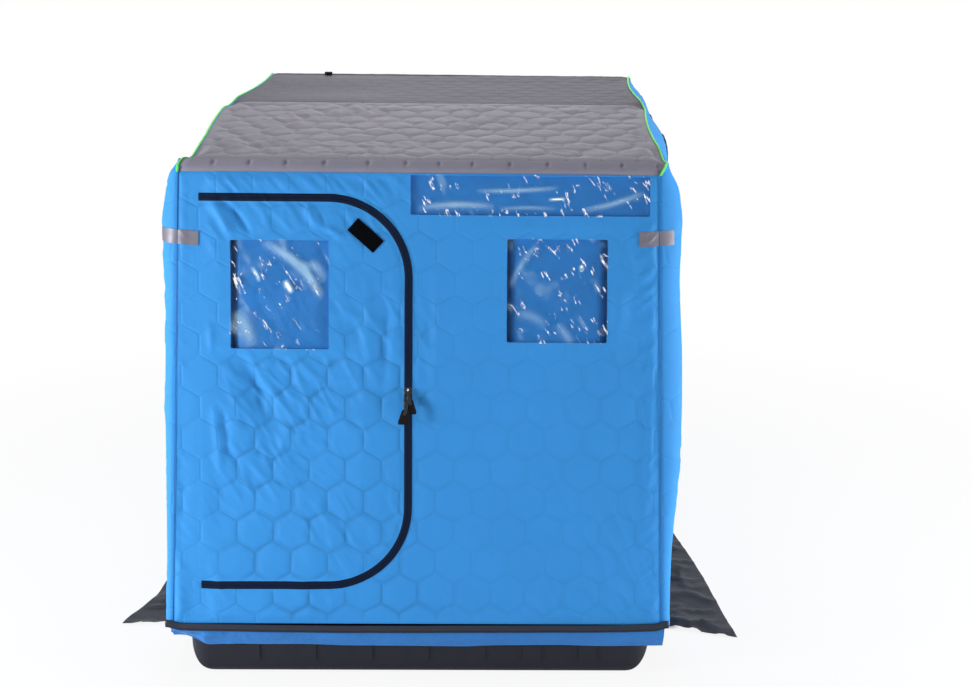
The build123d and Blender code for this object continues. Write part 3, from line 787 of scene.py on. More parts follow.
def cut_pattern(grid: Array, holes: Sequence, keep: Sequence = ()) -> Pattern:
    """Cuts shapes out of a grid of pattern points, with clean edges.

    Points within half a step of an outline move onto it along the distance's slope. Quads
    with four good points stay, those with three become triangles, and the rest go.

    Args:
        grid: columns by rows by 2 points.
        holes: shapes that are cut away.
        keep: shapes that the pattern has to stay inside.

    Returns:
        The cut pattern.
    """
    points = grid.reshape(-1, 2).copy()
    faces = lattice_faces(*grid.shape[:2])

    def room(at: Array) -> Array:
        """Distance to the nearest outline, positive on the cloth."""
        parts = [h.distance(at) for h in holes] + [-k.distance(at) for k in keep]
        return np.minimum.reduce(parts)

    steps = np.linalg.norm(np.diff(grid, axis=0), axis=2), np.linalg.norm(np.diff(grid, axis=1), axis=2)
    reach = 0.5 * max(float(np.median(s)) for s in steps)
    tiny, sliver = 1e-5, 1e-3
    near = np.abs(room(points)) < reach
    for _ in range(3):
        at = points[near]
        value = room(at)
        slope = np.stack([(room(at + d) - room(at - d)) / (2 * tiny)
                          for d in (np.array([tiny, 0]), np.array([0, tiny]))], 1)
        size = np.maximum(np.linalg.norm(slope, axis=1, keepdims=True), 0.3)
        points[near] = at - value[:, None] * slope / size**2
    good = room(points) > -reach * 0.1
    count = good[faces].sum(1)
    quads, partial = faces[count == 4], faces[count == 3]
    triangles = np.array([q[good[q]] for q in partial], int).reshape(-1, 3)
    kept = []
    for group in (quads, triangles):
        large = np.abs(twice_area(points[group]) / 2) > sliver * reach**2
        kept.append(group[(room(points[group].mean(1)) > -reach * 0.02) & large])
    return Pattern(points, [g for g in kept if len(g)])


def make_mesh(name: str, points: Array, faces: Sequence[Array], plan: Array) -> Piece:
    """Puts a surface into a mesh with its flat pattern as the UV map Plan.

    Args:
        name: name of the piece.
        points: N by 3 places.
        faces: arrays of faces, each with its own number of corners.
        plan: N by 2 pattern coordinates in metres.

    Returns:
        The new object, linked and smooth shaded.
    """
    used = np.zeros(len(points), bool)
    for group in faces:
        used[np.asarray(group).ravel()] = True
    order = np.cumsum(used) - 1
    polygons = [row for group in faces for row in order[np.asarray(group)].tolist()]
    mesh = bpy.data.meshes.new(name)
    mesh.from_pydata(points[used].tolist(), [], polygons)
    corner = np.zeros(len(mesh.loops), np.int32)
    mesh.loops.foreach_get("vertex_index", corner)
    layer = mesh.uv_layers.new(name="Plan")
    layer.data.foreach_set("uv", plan[used][corner].astype(np.float32).ravel())
    mesh.polygons.foreach_set("use_smooth", np.ones(len(mesh.polygons), bool))
    mesh.update()
    edge_of = np.zeros(len(mesh.loops), np.int32)
    mesh.loops.foreach_get("edge_index", edge_of)
    open_edges = np.bincount(edge_of, minlength=len(mesh.edges)) == 1
    mesh.attributes.new("sharp_edge", "BOOLEAN", "EDGE").data.foreach_set("value", open_edges)
    piece = bpy.data.objects.new(name, mesh)
    bpy.context.scene.collection.objects.link(piece)
    return piece


def thicken(piece: Piece, thickness: float, inner: Finish | None = None) -> None:
    """Gives a surface a wall inwards from its outer face, with its own finish inside."""
    wall = piece.modifiers.new("wall", "SOLIDIFY")
    wall.thickness, wall.offset = thickness, -1
    wall.use_even_offset = False
    if inner is not None:
        piece.data.materials.append(inner.material())
        wall.material_offset = len(piece.data.materials) - 1
        wall.material_offset_rim = 0


def bevelled(piece: Piece, width: float) -> None:
    """Rounds a piece's sharp edges."""
    edge = piece.modifiers.new("edge", "BEVEL")
    edge.width, edge.segments, edge.limit_method = width, 2, "ANGLE"
    edge.angle_limit = math.radians(35)


def loft(name: str, rings: Array, plan: Array | None = None) -> Piece:
    """Joins closed rings of points into a tube with closed ends, whose faces point outwards.

    Faces run ring to ring; where the volume inside, the sum of each face's corner product,
    comes out negative, every face is turned over.

    Args:
        name: name of the piece.
        rings: N by M by 3 places.
        plan: N by M by 2 pattern coordinates; by default the lengths along and around.

    Returns:
        The new object.
    """
    count, ring = rings.shape[:2]
    if plan is None:
        plan = np.stack(np.meshgrid(lengths(rings[0]), lengths(rings.mean(1))), -1)
    i, j = np.meshgrid(np.arange(count - 1), np.arange(ring), indexing="ij")
    a, b = i * ring + j, i * ring + (j + 1) % ring
    last = np.arange(ring)[None] + (count - 1) * ring
    faces = [np.stack([a, b, b + ring, a + ring], -1).reshape(-1, 4), np.arange(ring)[None, ::-1], last]
    points = rings.reshape(-1, 3)
    p, q, r, t = (points[faces[0][:, k]] for k in range(4))
    volume = np.einsum("ij,ij->", p, np.cross(q, r)) + np.einsum("ij,ij->", p, np.cross(r, t))
    for cap in faces[1:]:
        c = points[cap[0]]
        volume += np.einsum("j,ij->", c[0], np.cross(c[1:-1], c[2:]))
    if volume < 0:
        faces = [f[:, ::-1] for f in faces]
    return make_mesh(name, points, faces, plan.reshape(-1, 2))


def sweep(name: str, path: Array, across: Array, up: Array, section: Array) -> Piece:
    """Carries a closed section along a path: path + x times across + y times up.

    Args:
        name: name of the piece.
        path: N by 3 places.
        across: unit direction of the section's x, or N of them.
        up: unit direction of the section's y, or N of them.
        section: M by 2 section points in metres, or N by M by 2 where it changes.

    Returns:
        The new object.
    """
    across, up = (np.broadcast_to(way, path.shape) for way in (across, up))
    section = np.broadcast_to(section, (len(path), *section.shape[-2:]))
    rings = path[:, None] + section[..., :1] * across[:, None] + section[..., 1:] * up[:, None]
    return loft(name, rings)


def rounded(corners: Array, radii: Sequence[float], turns: int = 24) -> tuple[Array, Array, list[int]]:
    """A line through corners that turns right at each, along arcs of the given radii.

    At a corner the left-hand normal of the run before turns to that of the run after, about
    a centre that lies the radius inside both runs.

    Args:
        corners: N by 2 points.
        radii: one radius for each inner corner.
        turns: points on each arc.

    Returns:
        The points, the left-hand normals, and the numbers of each arc's first and last point.
    """
    ways = np.diff(corners, axis=0)
    ways = ways / np.linalg.norm(ways, axis=1, keepdims=True)
    left = np.stack([-ways[:, 1], ways[:, 0]], 1)
    points, normals, marks = [corners[0]], [left[0]], []
    for k, radius in enumerate(radii, start=1):
        turn = math.acos(float(np.clip(ways[k - 1] @ ways[k], -1, 1)))
        normal = left[k - 1]
        centre = corners[k] - ways[k - 1] * radius * math.tan(turn / 2) - normal * radius
        angle = np.linspace(0, turn, turns)[:, None]
        arc = normal * np.cos(angle) + np.array([normal[1], -normal[0]]) * np.sin(angle)
        marks += [len(points), len(points) + turns - 1]
        points += list(centre + radius * arc)
        normals += list(arc)
    return np.array(points + [corners[-1]]), np.array(normals + [left[-1]]), marks


def dress(piece: Piece, finish: Finish, body: str = "shell") -> Piece:
    """Gives a piece its finish and the body that it rides on."""
    piece.data.materials.append(finish.material())
    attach(piece, body)
    log.info("%s: %d faces, rides on %s", piece.name, len(piece.data.polygons), body)
    return piece


def circle(radius: float, count: int) -> Array:
    """Points round a circle."""
    angle = np.linspace(0, 2 * np.pi, count, endpoint=False)
    return radius * np.stack([np.cos(angle), np.sin(angle)], 1)


@dataclass(frozen=True)
class Stock:
    """What a sheet is cut from: finish, record slot, thickness and the finish inside."""

    finish: Finish
    slot: str
    thickness: float
    inner: Finish | None = None


def sew(
    name: str,
    pattern: Pattern,
    place: Callable[[Array], Array],
    stock: Stock,
    replaces: Sequence[str] = (),
    body: str = "shell",
    flip: bool = False,
) -> Piece:
    """Args:
        name: name of the piece.
        pattern: the cut pattern.
        place: turns pattern points into places.
        stock: what it is cut from.
        replaces: CAD nodes that it stands for.
        body: CAD body that it rides on.
        flip: True where the pattern's own turn would face inwards.

    Returns:
        The new sheet.
    """
    faces = [f[:, ::-1] for f in pattern.faces] if flip else pattern.faces
    piece = make_mesh(name, place(pattern.points), faces, pattern.points)
    dress(piece, stock.finish, body)
    thicken(piece, stock.thickness, stock.inner)
    pattern.extent
    pattern.area
    if replaces:
        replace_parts(piece, *replaces)
    log.info("  cut from %.2f by %.2f m", *pattern.extent)
    return piece


# --------------------------------------------------------------------------- the hut's form
@dataclass
class HutForm:
    """The hut's outer form, with the same sizes as its CAD source, in metres."""

    rear_y: float
    half_base: float = 0.800
    narrowing: float = 0.0233
    widening: float = 0.028
    base_height: float = 0.210
    eaves: Pair = (0.197, 1.670)
    ridge: Pair = (1.100, 1.795)
    brow: Pair = (2.093, 1.878)
    foot: Pair = (2.480, 0.003)
    lift_depth: float = 0.385
    sleeve_radius: float = 0.060
    ridge_radius: float = 0.040
    sleeve_share: float = 0.60
    corner_radius: float = 0.024
    fabric: float = 0.008
    scallop: Pair = (0.022, 0.024)
    left_scallop: float = 0.050
    left_fullest: float = 0.19
    left_bow: float = 0.010
    left_tuck: float = 0.024
    tuck_depth: Pair = (0.21, 0.07)
    tuck_rise: Pair = (1.615, 1.665)
    belly: float = 0.044
    left_belly: float = 0.15
    belly_below: float = 0.085
    belly_least: float = 0.80
    belly_wave: float = 0.30
    belly_starts: Pair = (0.20, 0.85)
    belly_fades: Pair = (1.8, 2.3)
    drawn_reach: Pair = (0.10, 0.04)
    droop: Pair = (0.020, 0.016)
    droop_reach: float = 0.08
    swell: Pair = (0.018, 0.050)
    swell_height: float = 1.00
    swell_spread: float = 0.52
    shoulder: Pair = (0.026, 0.028)
    shoulder_height: float = 1.51
    shoulder_spread: float = 0.17
    shoulder_girth: Pair = (0.08, 0.30)
    line: Array = field(init=False)

    def __post_init__(self) -> None:
        """Works out the upper outline and the lengths at which its parts begin."""
        corners = np.array([(0.0, self.base_height), self.eaves, self.ridge, self.brow, self.foot])
        radii = (self.sleeve_radius, self.ridge_radius, self.sleeve_radius)
        points, normals, marks = rounded(corners, radii)
        length = lengths(points)
        self.line = np.column_stack([length, points, normals])
        self.seam, self.sleeve_end = (float(length[m]) for m in marks[:2])
        self.sleeve_top = self.seam + self.sleeve_share * (self.sleeve_end - self.seam)
        self.crest = float(length[(marks[2] + marks[3]) // 2])
        self.brow_start, self.brow_end = (float(length[m]) for m in marks[4:])
        self.end = float(length[-1])
        self.lean = math.atan2(self.eaves[0], self.eaves[1] - self.base_height)
        self.front_lean = math.atan2(self.foot[0] - self.brow[0], self.brow[1] - self.foot[1])

    def lined(self, finish: Finish, slot: str) -> Stock:
        """Quilted cloth of the hut's thickness with a dark liner inside."""
        return Stock(finish, slot, self.fabric, Palette.LINER)

    def up_wall(self, height: float) -> float:
        """Distance up the rear wall to a height above the ground."""
        return (height - self.base_height) / math.cos(self.lean)

    def on_line(self, s: Array) -> tuple[Array, Array]:
        """Depth and height on the upper outline, and its outward normal."""
        table = [np.interp(s, self.line[:, 0], self.line[:, k]) for k in range(1, 5)]
        return np.stack(table[:2], -1), np.stack(table[2:], -1)

    def rear_line(self, height: Array) -> Array:
        """Depth of the rear wall's plane at a height."""
        return (height - self.base_height) * math.tan(self.lean)

    def front_line(self, height: Array) -> Array:
        """Depth of the front wall's plane at a height."""
        slope = (self.foot[0] - self.brow[0]) / (self.brow[1] - self.foot[1])
        return self.foot[0] - (height - self.foot[1]) * slope

    def roof_height(self, depth: Array) -> Array:
        """Height of the roof's line over a depth."""
        stations = np.array([(0.0, self.eaves[1]), self.eaves, self.ridge, self.brow])
        return np.interp(depth, stations[:, 0], stations[:, 1])

    def half_width(self, depth: Array, height: Array, side: Array | int = 1) -> Array:
        """Half the width: the CAD's own, drawn in at the roof's edge and full below it.

        Between hoops the roof's edge is drawn in by a half sine; below the edge the wall
        swells by (v/p) exp(1 - v/p), where v is the distance down and p where it is fullest.

        Args:
            depth: distance behind the rear base seam.
            height: height above the ground.
            side: 1 for the right and -1 for the left.

        Returns:
            One half width for each point.
        """
        flat = self.half_base - self.narrowing * (height - self.base_height) + self.widening * depth
        below = np.maximum(self.roof_height(depth) - self.lowered(depth) - height, 0)
        v = below / self.belly_below
        wave = np.sin(np.pi * np.clip(depth / self.ridge[0], 0, 2)) ** 2
        amount = self.belly * (self.belly_least + self.belly_wave * wave)
        amount = amount * smooth(depth, *self.belly_starts) * (1 - smooth(depth, *self.belly_fades) * 0.5)
        amount = amount * sided(side, self.left_belly, 1.0)
        drawn = self.drawn_in(depth, side) * bell(below, sided(side, *self.drawn_reach))
        tuck = self.left_tuck * smooth(height, *self.tuck_rise) * peak(depth, self.tuck_depth)
        return flat - drawn - sided(side, tuck, 0.0) + amount * v * np.exp(1 - v)

    def drawn_in(self, depth: Array, side: Array | int) -> Array:
        """How far the roof's edge stands in from the straight line between hoops.

        It is a half sine of the share t between hoops, but at the left rear, where the cloth
        is fullest early, it is (t/p) exp(1 - t/p) (1 - t^2).
        """
        rear = np.clip((depth - self.eaves[0]) / (self.ridge[0] - self.eaves[0]), 0, 1)
        front = np.clip((depth - self.ridge[0]) / (self.brow[0] - self.ridge[0]), 0, 1)
        early = rear / self.left_fullest
        left = self.left_scallop * early * np.exp(1 - early) * (1 - rear**2)
        left = left + self.left_bow * np.sin(np.pi * rear)
        curve = sided(side, left, self.scallop[0] * np.sin(np.pi * rear))
        return curve + self.scallop[1] * np.sin(np.pi * front)

    def swollen(self, girth: Array, height: Array, side: int) -> Array:
        """How far a side wall swells past its flat form, with a shoulder near the rear top corner."""
        pick = 1 if side > 0 else 0
        swell = self.swell[pick] * bell(height - self.swell_height, self.swell_spread)
        shoulder = self.shoulder[pick] * bell(height - self.shoulder_height, self.shoulder_spread)
        shoulder = shoulder * (1 - smooth(girth, *self.shoulder_girth)) * smooth(-height, -1.66, -1.58)
        left = self.side_length(height) + 2 * self.arc - girth
        swell = swell * (1 - 0.5 * smooth(girth, 0.2, 1.2)) * smooth(left, 0, 0.3)
        return (swell + shoulder) * smooth(girth, 0.0, 0.06)

    def lowered(self, depth: Array) -> Array:
        """How far the roof's side edges drop below its middle where a hoop rounds over."""
        hoops = zip(self.droop, (self.eaves[0] + 0.07, self.ridge[0]))
        bend = sum(drop * bell(depth - at, self.droop_reach) for drop, at in hoops)
        return bend * smooth(depth, self.eaves[0], self.eaves[0] + 0.05)

    def rim(self, x: Array, s: Array) -> Array:
        """Distance in from the side edge of the rear wall, roof or front wall."""
        return self.edge(s, np.sign(x)) - np.abs(x)

    def edge(self, s: Array, side: Array | int = 1) -> Array:
        """Half width of the rear wall, roof and front wall along the upper outline.

        Where the outline is nearer than the corner radius to the rear or front plane, the
        edge follows the upright corner's rounding.

        Args:
            s: distance along the outline from the rear base seam.
            side: 1 for the right and -1 for the left.

        Returns:
            One half width for each point.
        """
        at, _ = self.on_line(s)
        r = self.corner_radius
        nearest = np.minimum(at[..., 0] - self.rear_line(at[..., 1]),
                             self.front_line(at[..., 1]) - at[..., 0])
        short = np.clip(r - nearest, 0, r)
        return self.half_width(at[..., 0], at[..., 1], side) - (r - np.sqrt(r * r - short * short))

    def place(self, x: Array, s: Array, h: Array | float = 0.0) -> Array:
        """Places on the rear wall, roof or front wall, h outside the outline."""
        at, normal = self.on_line(s)
        out = at + normal * np.asarray(h)[..., None]
        rounding = smooth(-self.rim(x, s), -self.droop_reach, 0.0) ** 2
        drop = self.lowered(at[..., 0]) * rounding * smooth(self.brow_end - s, 0.0, 0.02)
        return np.stack([np.broadcast_to(x, drop.shape), out[..., 0] + self.rear_y, out[..., 1] - drop], -1)

    def over(self, points: Array, h: Array | float = 0.0) -> Array:
        """Places h outside the outline, from N by 2 pattern points."""
        return self.place(points[:, 0], points[:, 1], h)

    def to_seam(self, points: Array, start: float, end: float) -> Array:
        """Distance in from a panel's four sewn edges, where it runs between two lengths."""
        x, s = points[:, 0], points[:, 1]
        return np.minimum.reduce([self.rim(x, s), s - start, end - s])

    def side_length(self, height: Array) -> Array:
        """Length of the side wall between its two rounded corners at a height."""
        return self.front_line(height) - self.rear_line(height) - 2 * self.corner_radius

    def side_place(self, girth: Array, height: Array, side: int, h: Array | float = 0.0) -> Array:
        """Places on a side wall and its two rounded corners.

        Girth runs forward from where the rear corner's arc begins. Below 0 it is on the rear
        wall, then it turns through a quarter circle, runs along the side, and turns again on
        to the front wall.

        Args:
            girth: distance round from the rear corner seam.
            height: height above the ground.
            side: 1 for the right and -1 for the left.
            h: distance outside the wall.

        Returns:
            N by 3 places.
        """
        r, arc, length = self.corner_radius, self.arc, self.side_length(height)
        on_front = girth > arc + length
        angle = np.where(on_front, np.pi / 2 - (girth - arc - length) / r, girth / r)
        angle = np.clip(angle, 0, np.pi / 2)
        past = np.where(on_front, girth - 2 * arc - length, -girth).clip(0)
        offset = r * (1 - np.cos(angle))
        rear, front = self.rear_line(height), self.front_line(height)
        run = np.where(girth < arc, rear + offset, rear + r + girth - arc)
        depth = np.where(on_front, front - offset, run)
        corner = np.where(on_front, front, np.where(girth < arc, rear, depth))
        x = self.half_width(corner, height, side) - r + r * np.sin(angle) - past
        x = x + self.swollen(girth, height, side)
        normal_y = np.where(on_front, 1, -1) * np.cos(angle)
        return np.stack([side * (x + np.sin(angle) * h), depth + normal_y * h + self.rear_y,
                         height + 0 * depth], -1)

    def side_grid(self, step: float) -> Array:
        """Pattern points of a side wall: distance forward and height.

        The forward distance is the girth plus the depth of the rear plane at that height, so
        upright lines stay upright. Each column is a straight line from the lower edge to the
        roof's outline: a few in each corner's arc, and the rest spread along the side.

        Args:
            step: spacing in metres.

        Returns:
            Columns by rows by 2 points.
        """
        r, arc = self.corner_radius, self.arc
        turn = np.linspace(0, np.pi / 2, 8)
        offset = r * (1 - np.cos(turn))

        def edge(rear: Array, front: Array, depth: Array, height: Array) -> Array:
            """One edge: heights round the rear arc and the front arc, and the run between them."""
            forward = arc + self.front_line(front) - 2 * r + r * (np.pi / 2 - turn)
            return np.concatenate([
                np.stack([r * turn + self.rear_line(rear), rear], 1),
                np.stack([depth - r + arc, height], 1),
                np.stack([forward, front], 1)[::-1],
            ])

        at, _ = self.on_line(np.linspace(self.seam, self.brow_end, 4000))
        at[:, 1] -= self.lowered(at[:, 0])
        from_rear = at[:, 0] - self.rear_line(at[:, 1])
        from_front = self.front_line(at[:, 1]) - at[:, 0]
        half = len(at) // 2
        rear_top = np.interp(offset, from_rear[:half], at[:half, 1])
        front_top = np.interp(offset, from_front[half:][::-1], at[half:, 1][::-1])
        first = np.interp(r, from_rear[:half], at[:half, 0])
        last = np.interp(r, from_front[half:][::-1], at[half:, 0][::-1])
        share = np.linspace(0, 1, int(self.foot[0] / step))[1:-1]
        top_depth = first + share * (last - first)
        top = edge(rear_top, front_top, top_depth, np.interp(top_depth, at[:, 0], at[:, 1]))
        low_depth = r + share * (self.foot[0] - 2 * r)
        base = ((0.0, self.lift_depth, self.foot[0]), (self.base_height, self.foot[1], self.foot[1]))
        front_low = np.full_like(offset, self.foot[1])
        low = edge(np.interp(offset, *base), front_low, low_depth, np.interp(low_depth, *base))
        rise = np.linspace(0, 1, int(self.brow[1] / step))[None, :, None]
        return low[:, None] * (1 - rise) + top[:, None] * rise

    @property
    def arc(self) -> float:
        """Length of an upright corner's quarter circle."""
        return self.corner_radius * math.pi / 2

    def grid(self, start: float, end: float, step: float) -> Array:
        """Pattern points across the rear wall, roof or front wall between two lengths."""
        along = np.linspace(start, end, max(2, int(round((end - start) / step)) + 1))
        edges = {side: self.edge(along, side) for side in (-1, 1)}
        share = np.linspace(-1, 1, int(round(2 * edges[1].max() / step)) + 1)[:, None]
        across = np.where(share < 0, share * edges[-1][None], share * edges[1][None])
        return np.stack([across, np.broadcast_to(along, across.shape)], -1)


# --------------------------------------------------------------------------- clothwork
@dataclass(frozen=True)
class Relief:
    """How a quilted panel stands out from its flat form."""

    cell: float = QUILT_CELL
    puff: float = 3.0 * MM
    dome: float = 0.45
    groove: float = 12 * MM
    # width of the painted shade along the quilt's grooves
    groove_shade: float = 6.5 * MM
    sway: float = 7 * MM
    sway_size: float = 0.30
    ripple: float = 3.2 * MM
    ripple_size: float = 0.10
    crease: float = 6.5 * MM
    crease_size: float = 0.050
    wander: float = 6 * MM
    seed: int = 1
    folds: tuple[Fold, ...] = ()

    def quilt(self, u: Array, v: Array) -> Array:
        """Quilt relief: a groove exp(-(e/g)^2) at each seam under a slight dome."""
        e = self.from_seam(u, v)
        share = np.clip(e / (self.cell / 2), 0, 1)
        return self.puff * (self.dome * np.sin(share * np.pi / 2) - bell(e, self.groove))

    def groove_shading(self, u: Array, v: Array) -> Array:
        """Mask of the painted shade in the quilt's grooves: 1 on the seams, falling to 0 within a few
        millimetres.
        """
        return bell(self.from_seam(u, v), self.groove_shade)

    def from_seam(self, u: Array, v: Array) -> Array:
        """Distance from the nearest quilt seam, where the seams wander a few millimetres."""
        wander = [self.wander * noise(u, v, 0.075, self.seed + k) for k in (40, 41)]
        return hexagons(u + wander[0], v + wander[1], self.cell)

    def loose(self, u: Array, v: Array) -> Array:
        """Slack in the cloth: wide swells, smaller crested ripples, and single folds."""
        wide = self.sway * noise(u, v, self.sway_size, self.seed)
        small = self.ripple * (ridged(u, v, self.ripple_size, self.seed + 7) - 0.5)
        small = small * (0.5 + 0.5 * noise(u, v, 0.3, self.seed + 3))
        patch = smooth(noise(u, v, 0.22, self.seed + 5), -0.25, 0.5)
        small = small + self.crease * patch * creased(u, v, self.crease_size, self.seed + 9)
        return wide + small + folded(self.folds, u, v)


def sunk(rim: Array, deep: float = SEAM_DEPTH) -> Array:
    """How a panel is drawn in along its sewn edges, from the distance to them."""
    return -deep * bell(rim, SEAM_WIDTH)


def plan_of(piece: Piece) -> Array:
    """A piece's flat pattern coordinates, one for each of its points."""
    mesh = piece.data
    corner = np.zeros(len(mesh.loops), np.int32)
    mesh.loops.foreach_get("vertex_index", corner)
    flat = np.zeros(2 * len(mesh.loops), np.float32)
    mesh.uv_layers["Plan"].data.foreach_get("uv", flat)
    plan = np.zeros((len(mesh.vertices), 2))
    plan[corner] = flat.reshape(-1, 2)
    return plan


def store(piece: Piece, name: str, values: Array) -> None:
    """Keeps one number for each of a piece's points, for its finish to read."""
    layer = piece.data.attributes.new(name, "FLOAT", "POINT")
    layer.data.foreach_set("value", values.astype(np.float32))


def crinkled(points: Array, shape: Box2, deep: float, seed: int) -> Array:
    """Relief of a vinyl pane: broad dents and sharp crinkles that die away at its sewn edge.

    Args:
        points: pattern points.
        shape: the pane's outline.
        deep: height of the broad dents.
        seed: number of the pattern.

    Returns:
        One height for each point.
    """
    u, v = points[:, 0], points[:, 1]
    inside = smooth(-shape.distance(points), 6 * MM, 34 * MM)
    dents = deep * noise(u, v, 0.09, seed)
    sharp = deep * 0.55 * (ridged(u, v, 0.055, seed + 1) - 0.4)
    return inside * (dents + sharp) + 0.3 * MM * ridged(u, v, 0.03, seed + 5)


@dataclass
class Glazing:
    """A window: a clear pane sewn over an opening, and a cloth cover behind it."""

    name: str
    shape: Box2
    place: Place
    nodes: tuple[str, ...]
    rests_on: str
    body: str = "shell"
    flip: bool = False
    pane: float = 1.2 * MM
    behind: float = 9.5 * MM
    cover: float = 2.0 * MM
    deep: float = 3.5 * MM
    gap: float = 0.4 * MM
    lap: float = 6 * MM
    gloom_width: float = 16 * MM
    seed: int = 5
    step: float = 5 * MM
    # folds of painted reflection on the pane: pale streaks, and painted highlight spots where the height
    # passes 1
    streaks: tuple[Fold, ...] = ()
    gloom: Pair = (0.0, 0.0)

    def grid(self, shape: Box2) -> Array:
        """Pattern points that fill a rectangle."""
        axes = [np.linspace(c - s / 2, c + s / 2, int(round(s / self.step)) + 1)
                for c, s in zip(shape.centre, shape.size)]
        return lattice(*axes)

    def build(self) -> None:
        """Makes the pane and its cover, which stand for the nodes in that order."""
        pattern = cut_pattern(self.grid(self.shape), [], [self.shape])
        relief = crinkled(pattern.points, self.shape, self.deep, self.seed)
        pane = sew(f"{self.name}_pane", pattern, lambda p: self.place(p, relief + self.pane + self.gap),
                   Stock(Palette.VINYL, "clear_vinyl", self.pane),
                   self.nodes[:1], self.body, flip=self.flip)
        local = plan_of(pane) - np.array(self.shape.centre)
        # stores the pane's painted reflection streaks for its finish
        store(pane, "painted_streak", folded(self.streaks, *local.T))
        wide = self.shape.grown(self.lap)
        pattern = Pattern.whole(self.grid(wide))
        u, v = pattern.points.T
        sag = 4 * MM * noise(u, v, 0.12, self.seed + 9) - 2 * MM * ridged(u, v, 0.1, self.seed + 12)
        sag = smooth(-wide.distance(pattern.points), 0.0, WIDE_FADE) * sag
        for side, deep in zip((-1, 1), self.gloom):
            edge = u - self.shape.centre[0] - side * self.shape.size[0] / 2
            sag = sag - deep * bell(edge, self.gloom_width)
        sew(f"{self.name}_cover", pattern, lambda p: self.place(p, sag - self.behind),
            Stock(Palette.COVER, "blue_cloth", self.cover),
            self.nodes[1:], self.body, flip=self.flip)


def zip_section(inner: float, outer: float, lip: float) -> Array:
    """Half a covered zipper: a tape that rises gently to a flap along the centre line."""
    side = math.copysign(1.0, outer)
    end = abs(outer)
    profile = np.array([
        (inner, -1.0), (inner, 0.75 * lip), (inner + 0.5 * MM, 0.95 * lip), (inner + 3.0 * MM, lip),
        (inner + 6.0 * MM, lip * 0.9), (inner + 9.0 * MM, lip * 0.75), (end - 2.4 * MM, lip * 0.66),
        (end - 1 * MM, lip * 0.5), (end, 0.0), (end, -1.0),
    ])
    return np.stack([side * profile[:, 0], profile[:, 1] * MM], 1)


def band(name: str, line: Array, ways: Array, section: Array, place: Place,
         base: Array) -> Piece:
    """A band that lies along a line of a flat pattern.

    A section point (a, h) goes to the pattern point line + a times the outward way, at the
    height base + h.

    Args:
        name: name of the piece.
        line: N by 2 pattern points.
        ways: N by 2 outward directions.
        section: M by 2 section points.
        place: turns pattern points and heights into places.
        base: height of the cloth under each point of the line.

    Returns:
        The new object.
    """
    flat = line[:, None] + section[None, :, :1] * ways[:, None]
    high = base[:, None] + section[None, :, 1]
    rings = place(flat.reshape(-1, 2), high.ravel()).reshape(*high.shape, 3)
    plan = np.stack(np.broadcast_arrays(section[None, :, 0], lengths(line)[:, None]), -1)
    return loft(name, rings, plan)


